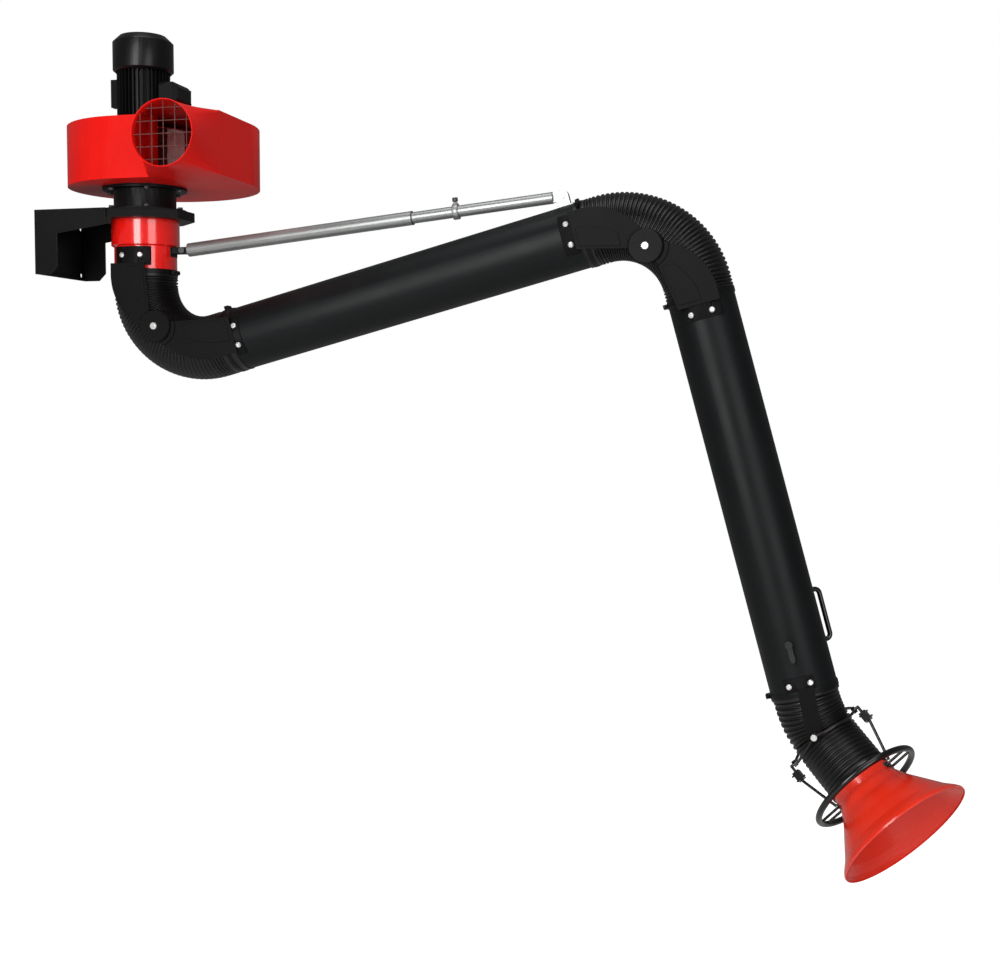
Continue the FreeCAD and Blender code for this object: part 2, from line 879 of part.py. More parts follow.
def hoop(spot, along, radius):
    circle = Part.Circle(vec(0, 0, 0), vec(1, 0, 0), radius).toShape()
    out = along.cross(side_dir).normalize()
    y = out.cross(along)
    return Part.Wire([put(circle, basis(spot, along, y, out))])


def rib_stations(start, end, pitch, crest, root):
    # four circles for each rib: root, root, crest, crest
    count = max(1, round((end - start) / pitch))
    step = (end - start) / count
    root_end, crest_start, crest_end = [step * share for share in rib_shares]
    marks = []
    for i in range(count):
        base = start + i * step
        marks += [(base, root), (base + root_end, root)]
        marks += [(base + crest_start, crest), (base + crest_end, crest)]
    return marks + [(end, root)]


def tube_between(point_at, marks):
    wires = [hoop(*point_at(d), r) for d, r in marks]
    return Part.makeLoft(wires, True, True)


def elbow_hose(frame_a, off_a, run_a, end_a, frame_b, off_b, run_b, end_b, radius):
    # plain cuff, ribs on the straight run, on the arc and on the other run, plain cuff
    path = bend_path(frame_a, off_a, frame_b, off_b, radius)
    arc_long = path["radius"] * path["turn"]
    d0 = path["start"] - end_a
    d1 = arc_long + end_b - path["end"]
    low = -run_a
    high = arc_long + run_b

    def at(d):
        return bend_point(path, d)

    hem = hose_hem / 2
    ribs = rib_stations(low + hose_hem, high - hose_hem, rib_pitch, hose_r, hose_root_r)
    marks = [(d0, cuff_r), (low + hem, cuff_r)] + ribs + [(high - hem, cuff_r), (d1, cuff_r)]
    outer = tube_between(at, marks)
    first, a_dir = at(d0 - over)
    last, b_dir = at(d1 + over)
    start = at(0)[0]
    mid = at(arc_long / 2)[0]
    end = at(arc_long)[0]
    line = Part.Wire([Part.makeLine(first, start), arc(start, mid, end), Part.makeLine(end, last)])
    bore = line.makePipeShell([hoop(first, a_dir, hose_bore)], True, False)
    in_a = rod(cuff_bore, at(low)[0], first)
    in_b = rod(cuff_bore, at(high)[0], last)
    return outer.cut(bore).cut(in_a).cut(in_b), path


# Side plates in a link's own frame: x along the tube, z towards its axis
def plate_edge(axis_n, reach, shape):
    # ends of the plate's inner edge: on the eye, and at the saddle
    inner, _, eye_n = shape
    return vec(math.sqrt(eye_r ** 2 - eye_n ** 2), 0, eye_n), vec(reach, 0, axis_n - inner)


def plate_outline(axis_n, reach, shape):
    rear = axis_n + shape[1]
    near, far = plate_edge(axis_n, reach, shape)
    start = vec(0, 0, eye_r)
    mid, end = [vec(reach * s, 0, eye_r + (rear - eye_r) * n) for s, n in plate_arc_shares]
    corner = vec(reach, 0, rear)
    face_edges = [arc(start, mid, end), Part.makeLine(end, corner), Part.makeLine(corner, far),
                  Part.makeLine(far, near), Part.makeLine(near, start)]
    return Part.Face(Part.Wire(face_edges))


def plate_panel(axis_n, reach, shape, y0, side):
    # pressed panel between a curved line and the plate's inner edge
    a, b, c = [vec(reach * s, y0, axis_n * n) for s, n in panel_shares]
    near, far = plate_edge(axis_n, reach, shape)
    slope = (far.z - near.z) / (far.x - near.x)

    def edge_at(s):
        return vec(s, y0, near.z + slope * (s - near.x) + panel_margin)

    wire = Part.Wire([arc(a, b, c), Part.makeLine(c, edge_at(c.x)),
                      Part.makeLine(edge_at(c.x), edge_at(a.x)), Part.makeLine(edge_at(a.x), a)])
    return Part.Face(wire).extrude(vec(0, side * panel_high, 0))


def saddle(side, axis_n, start, end, half, inner_r):
    sleeve = pipe(inner_r + saddle_wall, inner_r + touch_gap, vec(start, 0, axis_n), vec(end, 0, axis_n))
    far = inner_r + saddle_wall + over
    window = block(start, end, min(0, side * far), max(0, side * far), axis_n - half, axis_n + half)
    return sleeve.common(window)


def screw_bores(side, axis_n, places):
    # screw holes square to the tube, either side of its flank
    bores = []
    for s, n in places:
        angle = math.asin((n - axis_n) / (tube_r + saddle_wall))
        out = vec(0, side * math.cos(angle), math.sin(angle))
        centre = vec(s, 0, axis_n)
        low = centre + out * (tube_r - tube_wall - over)
        bores.append(rod(screw_r + hole_gap, low, centre + out * (tube_r + 2 * over)))
    return bores


def bored(body, bores):
    for cut in bores:
        body = body.cut(cut)
    return body


def screw_places(axis_n, s):
    return [(s, axis_n - screw_side), (s, axis_n + screw_side)]


def side_plate(side, axis_n, shape, tab, screw_s, raised, inner_r):
    y0 = side * plate_in
    flat = side * side_plate_t
    face = plate_outline(axis_n, tab[0] + over, shape)
    face.translate(vec(0, y0, 0))
    sheet_part = face.extrude(vec(0, flat, 0))
    reach_y = flat * over
    eye_full = rod(eye_r, vec(0, y0, 0), vec(0, y0 + flat, 0))
    link_y = side * (plate_in + side_plate_t + friction_t + 2 * touch_gap)
    if raised:
        core = rod(neck_wall, vec(0, y0 - reach_y, 0), vec(0, y0 + reach_y, 0))
        base = sheet_part.cut(core)
        tall_face = plate_outline(axis_n, tab[0] + over, shape)
        tall_face.translate(vec(0, y0, 0))
        tall = tall_face.extrude(vec(0, link_y + flat - y0, 0))
        wall = tall.common(pipe(neck_out, neck_wall, vec(0, y0, 0), vec(0, link_y + flat, 0)))
        lid_zone = rod(neck_out, vec(0, link_y, 0), vec(0, link_y + flat, 0))
        lid = tall.common(lid_zone)
        eye = rod(eye_r, vec(0, link_y, 0), vec(0, link_y + flat, 0))
        body = fuse([base, wall, lid, eye])
    else:
        body = fuse([sheet_part, eye_full])
    body = body.cut(rod(stud_r + running_gap, vec(0, y0 - reach_y, 0), vec(0, y0 + 2 * reach_y, 0)))
    body = body.fuse(plate_panel(axis_n, tab[0], shape, y0 + flat, side)).removeSplitter()
    grip = saddle(side, axis_n, tab[0], tab[1], saddle_half, inner_r)
    body = body.fuse(grip).removeSplitter()
    return bored(body, screw_bores(side, axis_n, screw_places(axis_n, screw_s)))


def flank_screws(side, axis_n, places, inner_r):
    out_r = inner_r + saddle_wall + seat_gap
    screws = []
    for s, n in places:
        angle = math.asin((n - axis_n) / (tube_r + saddle_wall))
        out = vec(0, side * math.cos(angle), math.sin(angle))
        place = basis(vec(s, 0, axis_n) + out * out_r, wall_out, out.cross(wall_out), out)
        screws.append(put(pan_screw(out_r - inner_r + tube_wall + screw_past), place))
    return screws


def pan_screw(shank):
    rim = screw_head * screw_rim_share
    return spun([(0, -shank), (screw_r, -shank), (screw_r, 0), (screw_head_r, 0), (screw_head_r, rim),
                 (screw_head_r * screw_top_share, screw_head), (0, screw_head)])


def pivot_set(side):
    # stud, friction disc, cover disc and nut on one side of a pivot, in the link's frame
    y1 = plate_in
    seat = y1 - touch_gap
    head = rod(stud_head_r, vec(0, side * (seat - stud_head), 0), vec(0, side * seat, 0))
    lid_top = y1 + 2 * side_plate_t + friction_t + 2 * touch_gap
    cover_top = lid_top + touch_gap + disc_t
    stud = rod(stud_r, vec(0, side * (seat - stud_start), 0),
               vec(0, side * (cover_top + pivot_nut + stud_tip), 0))
    friction = pipe(eye_r - friction_inset, stud_r + running_gap, vec(0, side * (y1 + side_plate_t), 0),
                    vec(0, side * (y1 + side_plate_t + friction_t), 0))
    disc = spun([(stud_r + running_gap, 0), (eye_r, 0), (eye_r, disc_t - disc_bevel),
                 (eye_r - disc_bevel, disc_t), (stud_r + running_gap, disc_t)])
    disc = put(disc, basis(vec(0, side * (lid_top + touch_gap), 0), wall_out,
                           vec(0, 0, -side), vec(0, side, 0)))
    rim = pivot_nut * pivot_nut_rim_share
    nut = spun([(stud_r + running_gap, 0), (pivot_nut_r, 0), (pivot_nut_r, rim),
                (pivot_nut_r * pivot_nut_top_share, pivot_nut), (stud_r + running_gap, pivot_nut)])
    nut = put(nut, basis(vec(0, side * cover_top, 0), wall_out, vec(0, 0, -side), vec(0, side, 0)))
    return [head.fuse(stud).removeSplitter(), friction, disc, nut]


def band_clamp(place, axis_n, s0, radius, turn):
    # thin band round a cuff, with its screw block turned about the tube
    low = vec(s0, 0, axis_n)
    high = vec(s0 + band_wide, 0, axis_n)
    band = pipe(radius, radius - (band_out - cuff_r) + touch_gap, low, high)
    mid = s0 + band_wide / 2
    half = band_wide / 2 - clamp_side_gap
    lug = block(mid - half, mid + half, -clamp_block_long / 2, clamp_block_long / 2,
                axis_n + radius - clamp_sink, axis_n + radius + clamp_block)
    lug = lug.cut(rod(radius - clamp_hug, low, high))
    drive = rod(clamp_screw_r, vec(mid, -clamp_screw_long / 2, axis_n + radius + clamp_block / 2),
                vec(mid, clamp_screw_long / 2 + clamp_past, axis_n + radius + clamp_block / 2))
    body = fuse([band, turned(lug.fuse(drive), low, wall_out, turn)])
    return put(body, place)


# Collar and clevis
collar_end = -shoulder_drop


def swivel_collar(tube_start):
    low = collar_end + tube_start
    parts = [ring(collar_lower_r, collar_lower_r - collar_wall, low, collar_step_z, axis_x),
             spun([(collar_lower_r - collar_wall, collar_step_z - collar_step),
                   (collar_lower_r, collar_step_z - collar_step), (collar_upper_r, collar_step_z),
                   (collar_upper_r, flange_top), (collar_upper_r - collar_wall, flange_top),
                   (collar_upper_r - collar_wall, collar_step_z)], axis_x),
             ring(collar_flange_r, collar_upper_r - collar_wall, flange_seat, flange_top, axis_x)]
    places = screw_places(shoulder_out, collar_screw_s)
    bores = [put(cut, collar_frame) for s in (-1, 1) for cut in screw_bores(s, shoulder_out, places)]
    return bored(fuse(parts), bores)


foot = vec(axis_x + brace_foot_x, 0, -shoulder_drop + brace_foot_z)
head = shoulder + vec(brace_head_x, 0, brace_head_z)
brace_dir = (head - foot).normalize()
brace_out = brace_dir.cross(side_dir).normalize()
brace_frame = basis(foot, brace_dir, brace_out.cross(brace_dir), brace_out)
brace_long = (head - foot).Length


def brace_clevis():
    r = collar_lower_r
    low = foot.z - clevis_base_half
    high = foot.z + clevis_high
    base = pipe(r + saddle_wall, r + touch_gap, vec(axis_x, 0, low), vec(axis_x, 0, high))
    half = clevis_half + clevis_wall
    base = base.common(block(axis_x, axis_x + brace_foot_x, -half - over, half + over, low, high))
    root = axis_x + r + saddle_wall / 2
    ears = []
    for side in (-1, 1):
        y0 = side * clevis_half
        y1 = side * half
        arm = block(root, foot.x, min(y0, y1), max(y0, y1), foot.z - clevis_high, foot.z + clevis_high)
        tip_part = rod(clevis_tip, vec(foot.x, y0, foot.z), vec(foot.x, y1, foot.z))
        ears += [arm.cut(post(r + touch_gap, foot.z - over * over, foot.z + over * over, axis_x)), tip_part]
    body = fuse([base] + ears)
    return body.cut(rod(foot_pin_r + running_gap, vec(foot.x, -half - over, foot.z),
                        vec(foot.x, half + over, foot.z)))


def pin_with_heads(radius, half, centre):
    shaft = rod(radius, centre + vec(0, -half, 0), centre + vec(0, half, 0))
    caps = [rod(radius * pin_cap_share, centre + vec(0, s * (half + touch_gap), 0),
                centre + vec(0, s * (half + radius), 0)) for s in (-1, 1)]
    stubs = rod(radius, centre + vec(0, -half - radius, 0), centre + vec(0, half + radius, 0))
    return fuse([shaft, stubs] + caps)


# Brace, in its own frame: x from the foot pin to the head pin
def brace_outer_tube():
    start = clevis_tip + brace_gap
    tube = pipe(brace_outer_r, brace_outer_r - brace_outer_wall, vec(start + brace_plug, 0, 0),
                vec(brace_outer_end, 0, 0))
    plug = rod(brace_outer_r, vec(start, 0, 0), vec(start + brace_plug, 0, 0))
    reach = clevis_half - seat_gap
    tongue = block(0, start + weld, -reach, reach, -clevis_high, clevis_high)
    eye = rod(clevis_high, vec(0, -reach, 0), vec(0, reach, 0))
    body = fuse([tube, plug, tongue, eye])
    far = clevis_half + over
    body = body.cut(rod(foot_pin_r + running_gap, vec(0, -far, 0), vec(0, far, 0)))
    return put(body, brace_frame)


def brace_bush():
    bore = brace_inner_r + running_gap
    sleeve = pipe(brace_outer_r - brace_outer_wall - running_gap, bore,
                  vec(brace_outer_end - 2 * brace_plug, 0, 0), vec(brace_outer_end, 0, 0))
    lip = pipe(brace_outer_r, bore, vec(brace_outer_end, 0, 0), vec(brace_outer_end + bush_lip, 0, 0))
    return put(sleeve.fuse(lip).removeSplitter(), brace_frame)


def brace_inner_tube():
    tube = pipe(brace_inner_r, brace_inner_r - brace_inner_wall, vec(brace_inner_start, 0, 0),
                vec(brace_inner_end - brace_cap, 0, 0))
    cap = rod(brace_inner_r, vec(brace_inner_end - brace_cap, 0, 0), vec(brace_inner_end, 0, 0))
    tongue = block(brace_inner_end - weld, brace_long, -tongue_half, tongue_half,
                   tongue_relief - brace_inner_r, brace_inner_r - tongue_relief)
    eye = rod(head_eye_r, vec(brace_long, -tongue_half, 0), vec(brace_long, tongue_half, 0))
    body = fuse([tube, cap, tongue, eye])
    far = tongue_half + over
    body = body.cut(rod(head_eye_bore, vec(brace_long, -far, 0), vec(brace_long, far, 0)))
    return put(body, brace_frame)


stop_place = brace_outer_end + stop_gap


def stop_collar():
    body = pipe(stop_r, brace_inner_r + running_gap, vec(stop_place, 0, 0),
                vec(stop_place + stop_wide, 0, 0))
    mid = stop_place + stop_wide / 2
    boss = rod(stop_boss_r, vec(mid, 0, stop_r - over), vec(mid, 0, stop_r + stop_neck / 2))
    core = rod(brace_inner_r + running_gap, vec(stop_place - over, 0, 0),
               vec(stop_place + stop_wide + over, 0, 0))
    hole = rod(stop_screw_r + running_gap, vec(mid, 0, 0), vec(mid, 0, stop_r + stop_neck))
    body = body.fuse(boss.cut(core)).removeSplitter().cut(hole.cut(core))
    return put(body, brace_frame)


def stop_screw():
    mid = stop_place + stop_wide / 2
    low = brace_inner_r + stop_tip_gap
    shank = rod(stop_screw_r, vec(mid, 0, low), vec(mid, 0, stop_r + stop_neck))
    knob = rod(stop_knob_r, vec(mid, 0, stop_r + stop_neck), vec(mid, 0, stop_r + stop_neck + stop_knob))
    return put(shank.fuse(knob).removeSplitter(), brace_frame)


def brace_ears():
    # saddle on the tube's top with two ears for the head pin, in the upper link's frame
    place = frame(shoulder, upper_dir, upper_out)
    local = place.inverse().multVec(head)
    base_r = tube_r
    half = tongue_half + ear_gap + ear_wall
    base = pipe(base_r + saddle_wall, base_r + touch_gap, vec(local.x - ear_foot, 0, -pivot_offset),
                vec(local.x + ear_foot, 0, -pivot_offset))
    base = base.common(block(local.x - ear_foot, local.x + ear_foot, -half - over, half + over,
                             0 - pivot_offset, base_r))
    ears = []
    for side in (-1, 1):
        y0 = side * (tongue_half + ear_gap)
        y1 = side * half
        web = block(local.x - head_eye_r, local.x + head_eye_r, min(y0, y1), max(y0, y1),
                    base_r - pivot_offset, local.z)
        eye = rod(head_eye_r, vec(local.x, y0, local.z), vec(local.x, y1, local.z))
        ears += [web, eye]
    core = rod(base_r + touch_gap, vec(local.x - 2 * ear_foot, 0, -pivot_offset),
               vec(local.x + 2 * ear_foot, 0, -pivot_offset))
    body = fuse([base] + ears).cut(core)
    gap = tongue_half + ear_gap
    window = block(local.x - ear_foot + over, local.x + ear_foot - over, -gap, gap, -over, local.z)
    body = body.cut(window)
    body = body.cut(rod(head_pin_r + running_gap, vec(local.x, -half - over, local.z),
                        vec(local.x, half + over, local.z)))
    return put(body, place)


# Tubes
def arm_tube(place, axis_n, start, end, hole_sets):
    body = pipe(tube_r, tube_r - tube_wall, vec(start, 0, axis_n), vec(end, 0, axis_n))
    for side, places in hole_sets:
        body = bored(body, screw_bores(side, axis_n, places))
    return put(body, place)


# Lower link
def grab_handle():
    r = handle_bar_r
    top = tube_r + handle_out
    foot_r = tube_r + touch_gap
    b = handle_bend
    k = b * (1 - math.sqrt(0.5))
    s0 = handle_s0 + r
    s1 = handle_s1 - r
    low = tube_r - handle_pad
    edges = [Part.makeLine(vec(s0, 0, low), vec(s0, 0, top - b)),
             arc(vec(s0, 0, top - b), vec(s0 + k, 0, top - k), vec(s0 + b, 0, top)),
             Part.makeLine(vec(s0 + b, 0, top), vec(s1 - b, 0, top)),
             arc(vec(s1 - b, 0, top), vec(s1 - k, 0, top - k), vec(s1, 0, top - b)),
             Part.makeLine(vec(s1, 0, top - b), vec(s1, 0, low))]
    start = Part.Wire([Part.Circle(vec(s0, 0, low), up, r).toShape()])
    bar = Part.Wire(edges).makePipeShell([start], True, False)
    pads = [rod(handle_pad_r, vec(s, 0, low), vec(s, 0, tube_r + handle_pad)) for s in (s0, s1)]
    core = rod(foot_r, vec(handle_s0 - 4 * over, 0, 0), vec(handle_s1 + 4 * over, 0, 0))
    body = fuse([bar] + pads).cut(core)
    body = turned(body, vec(0, 0, 0), wall_out, -handle_turn)
    body.translate(vec(0, 0, lower_offset))
    return put(body, lower_frame)


def link_plate(side):
    axis_n = lower_offset
    y0 = side * plate_in
    flat = side * side_plate_t
    n0 = axis_n + link_out
    s0 = link_tab[1] - over
    n1 = axis_n + link_top_out
    strip = side_slab([(s0, n1 - link_half), (s0, n1 + link_half), (link_reach, n0 + link_half),
                       (link_reach, n0 - link_half)], y0, y0 + flat)
    tip_part = rod(link_half, vec(link_reach, y0, n0), vec(link_reach, y0 + flat, n0))
    grip = saddle(side, axis_n, link_tab[0], link_tab[1], link_saddle_half, tube_r)
    body = fuse([strip, tip_part, grip])
    body = body.cut(rod(gimbal_bolt_r + running_gap, vec(link_reach, 0, n0), vec(link_reach, y0 * 2, n0)))
    return put(bored(body, screw_bores(side, axis_n, screw_places(axis_n, link_screw_s))), lower_frame)


def damper():
    centre = vec(damper_s, 0, lower_offset)
    shaft = rod(damper_shaft_r, centre - side_dir * (tube_r + shaft_past_lever),
                centre + side_dir * (tube_r + clip_out))
    half = vec(0, 0, damper_blade_t / 2)
    blade = rod(damper_blade_r, centre - half, centre + half)
    y0 = -tube_r - lever_gap
    lever = block(damper_s, damper_s + lever_long, y0 - lever_t, y0,
                  lower_offset - lever_half, lower_offset + lever_half)
    end = rod(lever_half, vec(damper_s + lever_long, y0 - lever_t, lower_offset),
              vec(damper_s + lever_long, y0, lower_offset))
    knob = rod(knob_r, centre + vec(0, y0 - knob_t, 0), centre + vec(0, y0, 0))
    clip = rod(clip_r, centre + side_dir * (tube_r + clip_in), centre + side_dir * (tube_r + clip_out))
    return put(fuse([shaft, blade, lever, end, knob, clip]), lower_frame)


# Gimbal and hood
def gimbal_ring():
    fold = math.atan2(ear_drop, math.sqrt(gimbal_r ** 2 - ear_drop ** 2))
    halves = []
    for side in (-1, 1):
        sweep = vec(math.sin(fold), 0, side * math.cos(fold))
        half = Part.makeTorus(gimbal_r, gimbal_wire_r, vec(0, 0, 0), up, -180, 180, 180)
        halves.append(put(half, basis(vec(0, 0, 0), side_dir, sweep, side_dir.cross(sweep))))
    eyes = [rod(gimbal_eye_r, vec(0, s * (gimbal_r - gimbal_eye_half), 0),
                vec(0, s * (gimbal_r + gimbal_eye_half), 0)) for s in (-1, 1)]
    ears = [rod(gimbal_eye_r, vec(ear_drop, 0, s * (ear_reach - gimbal_eye_half)),
                vec(ear_drop, 0, s * (ear_reach + gimbal_eye_half))) for s in (-1, 1)]
    body = fuse(halves + eyes + ears)
    body = body.cut(rod(gimbal_bolt_r + running_gap, vec(0, -2 * gimbal_r, 0), vec(0, 2 * gimbal_r, 0)))
    body = body.cut(rod(rod_r + running_gap, vec(ear_drop, 0, -2 * gimbal_r),
                        vec(ear_drop, 0, 2 * gimbal_r)))
    return put(body, hang_frame)


ear_reach = math.sqrt(gimbal_r ** 2 - ear_drop ** 2)


def gimbal_bolts(side):
    inner = plate_in - touch_gap
    outer = gimbal_r + gimbal_eye_half + touch_gap
    shank = rod(gimbal_bolt_r, vec(0, side * (inner - stud_head), 0), vec(0, side * outer, 0))
    cap = rod(gimbal_cap_r, vec(0, side * outer, 0), vec(0, side * (outer + screw_head), 0))
    foot_cap = rod(gimbal_foot_r, vec(0, side * (inner - stud_head), 0), vec(0, side * inner, 0))
    spacer = rod(gimbal_spacer_r, vec(0, side * (plate_in + side_plate_t + touch_gap), 0),
                 vec(0, side * (gimbal_r - gimbal_eye_half - touch_gap), 0))
    return put(fuse([shank, cap, foot_cap, spacer]), hang_frame)


def hood_rods(side):
    start = vec(0, 0, side * rod_in)
    corner = vec(0, 0, side * rod_out)
    knee = vec(rod_knee, 0, side * rod_out)
    end = vec(rod_foot, 0, side * rod_foot_out)
    joints = [Part.makeSphere(rod_r, corner), Part.makeSphere(rod_r, knee)]
    body = fuse([rod(rod_r, start, corner), rod(rod_r, corner, knee), rod(rod_r, knee, end)] + joints)
    return put(body, hood_frame)


def rod_clamps(side):
    mid = rod_knee - rod_clamp_long / 2 - rod_clamp_back
    core = block(mid - rod_clamp_long / 2, mid + rod_clamp_long / 2, -rod_clamp_half, rod_clamp_half,
                 min(side * (rod_out - rod_clamp_half), side * (rod_out + rod_clamp_half)),
                 max(side * (rod_out - rod_clamp_half), side * (rod_out + rod_clamp_half)))
    core = core.cut(rod(rod_r + running_gap, vec(mid - rod_clamp_long, 0, side * rod_out),
                        vec(mid + rod_clamp_long, 0, side * rod_out)))
    screws = []
    for s in (-1, 1):
        x = mid + s * rod_clamp_long / 4
        y = rod_r + rod_clamp_screw_r + seat_gap
        foot = side * (rod_out - rod_clamp_half - rod_clamp_foot)
        back = side * (rod_out + rod_clamp_half + rod_clamp_back)
        screws.append(rod(rod_clamp_screw_r, vec(x, s * y, foot), vec(x, s * y, back)))
    return put(fuse([core] + screws), hood_frame)


def hood_profile(inset):
    return [(neck_low, neck_r - inset)] + [(s, r - inset) for s, r in hood_shape]


def hood():
    outer = hood_profile(0)
    inner = hood_profile(hood_wall)
    last_s, last_r = outer[-1]
    rim = [(last_s + hood_lip, last_r), (last_s + hood_lip, last_r - hood_wall)]
    ring_points = outer + rim + inner[::-1]
    points = [vec(s, 0, r) for s, r in ring_points]
    face = Part.Face(Part.makePolygon(points + points[:1]))
    return put(face.revolve(vec(0, 0, 0), wall_out, 360), hood_frame)


def handle_ring():
    # hoop on four spokes, with two pads that rest on the neck
    hoop_part = Part.makeTorus(handle_ring_r, handle_tube_r, vec(handle_s, 0, 0), wall_out)
    low = handle_s - handle_pad_wide / 2
    high = handle_s + handle_pad_wide / 2
    inner = neck_r + seat_gap
    pads = []
    spokes = []
    for side in (-1, 1):
        pad = saddle(side, 0, low, high, spoke_side + handle_pad_more, inner)
        pads.append(turned(pad, vec(0, 0, 0), wall_out, 90))
        for y in (-spoke_side, spoke_side):
            z0 = math.sqrt((inner + touch_gap) ** 2 - y * y)
            z1 = math.sqrt(handle_ring_r ** 2 - y * y)
            spokes.append(rod(spoke_r, vec(handle_s, y, side * z0), vec(handle_s, y, side * z1)))
    core = rod(inner + touch_gap, vec(low - over, 0, 0), vec(high + over, 0, 0))
    return put(fuse([hoop_part] + pads + [s.cut(core) for s in spokes]), hood_frame)


def hood_curve():
    # quintic curve from the lower tube's end, past the link and the ears, to the hood's neck
    first = lower_frame.multVec(vec(tube_end, 0, lower_offset))
    last = hood_frame.multVec(vec(neck_low, 0, 0))
    span = (last - first).Length
    start_share, end_share = hood_curve_shares
    knots = [first, first + lower_dir * (span * start_share), link + side_dir * hose_sway,
             ear + side_dir * (hose_sway / 2), last - hood_dir * (span * end_share), last]

    def at(t):
        k = 1 - t
        spot = vec(0, 0, 0)
        for i, knot in enumerate(knots):
            spot += knot * (math.comb(5, i) * k ** (5 - i) * t ** i)
        slope = vec(0, 0, 0)
        for i in range(5):
            slope += (knots[i + 1] - knots[i]) * (math.comb(4, i) * k ** (4 - i) * t ** i)
        return spot, slope.normalize()

    return at, span


def hood_hose(t0, t1, before, after):
    # ribs along the curve, between plain cuffs given as points, direction and radius
    at, span = hood_curve()
    deep = hose_r - hose_root_r
    thick = hose_r - hose_bore

    def crest(t):
        return hose_hood_r - (hose_hood_r - hose_neck_r) * t

    hem = hose_hem / span
    low = t0 + (hem if before else 0)
    high = t1 - (hem if after else 0)
    wires = [hoop(spot, along, r) for spot, along, r in before]
    if before:
        wires.append(hoop(*at(t0 + hem / 2), before[-1][2]))
    ribs = rib_stations(low, high, rib_pitch / span, 1, 0)
    wires += [hoop(*at(t), crest(t) - deep * (1 - k)) for t, k in ribs]
    if after:
        wires.append(hoop(*at(t1 - hem / 2), after[0][2]))
    wires += [hoop(spot, along, r) for spot, along, r in after]
    step = (t1 - t0 + 2 * hem) / hose_bore_steps
    marks = [t0 - hem + step * i for i in range(hose_bore_steps + 1)]
    bore = Part.makeLoft([hoop(*at(t), crest(t) - thick) for t in marks], True, True)
    return Part.makeLoft(wires, True, True).cut(bore)


def hood_hoses():
    span = hood_curve()[1]
    tube_stop = lower_frame.multVec(vec(tube_end, 0, lower_offset))
    cuff_start = tube_stop - lower_dir * hood_cuff
    neck_stop = hood_frame.multVec(vec(neck_low, 0, 0))
    cuff_end = hood_frame.multVec(vec(neck_hose_s, 0, 0))
    neck_cuff = neck_r + seat_gap + cuff_r - cuff_bore
    upper = hood_hose(0, hood_split, [(cuff_start, lower_dir, cuff_r)], [])
    lower = hood_hose(hood_split + seat_gap / span, 1, [], [(cuff_end, hood_dir, neck_cuff)])
    upper = upper.cut(rod(cuff_bore, cuff_start - lower_dir * over, tube_stop))
    lower = lower.cut(rod(neck_r + seat_gap, neck_stop, cuff_end + hood_dir * over))
    return upper, lower


# Everything fixed to the wall
save("wall_bracket", wall_bracket())
save("swivel_ring", swivel_ring())
save("retaining_ring", retaining_ring())
save("bracket_bolts", bracket_bolts())
save("inlet_spigot", inlet_spigot())
save("flange_gasket", flange_gasket())
save("fan_bolts", casing_bolts() + motor_plate_bolts())
save("fan_casing", fan_casing())
save("outlet_duct", outlet_duct())
save("outlet_guard", outlet_guard())
save("motor_plate", motor_plate())
save("motor_housing", motor_housing())
save("motor_stator", motor_stator())
save("motor_bearings", motor_bearings())
save("rear_shield", rear_shield())
save("fan_cowl", fan_cowl())
save("terminal_box", terminal_box())
save("terminal_lid", terminal_lid())
save("cable_gland", cable_gland())

# What turns in the fan
save("motor_shaft", motor_shaft())
save("motor_rotor", motor_rotor())
save("impeller", impeller())
save("cooling_fan", cooling_fan())

# Hoses of the two elbows
shoulder_hose, shoulder_path = elbow_hose(collar_frame, shoulder_out, rib_run_collar, hose_end_collar,
                                          arm_frame, pivot_offset, rib_run_arm, hose_end_arm,
                                          shoulder_bend_r)
elbow_hose_body, elbow_path = elbow_hose(upper_frame, pivot_offset, rib_run_upper, hose_end_upper,
                                         lower_frame, lower_offset, rib_run_lower, hose_end_lower,
                                         elbow_bend_r)
save("shoulder_hose", shoulder_hose)
save("elbow_hose", elbow_hose_body)


def plate_pair(place, axis_n, shape, tab, screw_s, raised, inner_r):
    return both(lambda s: put(side_plate(s, axis_n, shape, tab, screw_s, raised, inner_r), place))


def screw_pairs(place, axis_n, places, inner_r):
    return [put(p, place) for s in (-1, 1) for p in flank_screws(s, axis_n, places, inner_r)]


def pivot_pair(place):
    return [put(p, place) for s in (-1, 1) for p in pivot_set(s)]


# What swings with the collar
save("swivel_collar", swivel_collar(shoulder_path["start"] + rib_run_collar + touch_gap))
save("shoulder_collar_plates", plate_pair(collar_frame, shoulder_out, collar_plate_shape, collar_tab,
                                          collar_screw_s, False, collar_lower_r))
save("shoulder_pivots", pivot_pair(collar_frame))
save("collar_screws", screw_pairs(collar_frame, shoulder_out, screw_places(shoulder_out, collar_screw_s),
                                  collar_lower_r))
collar_band_s = hose_end_collar - band_inset - band_wide
save("collar_clamp", band_clamp(collar_frame, shoulder_out, collar_band_s, band_out, 180))
save("brace_clevis", brace_clevis())
save("brace_foot_pin", pin_with_heads(foot_pin_r, clevis_half + clevis_wall, foot))

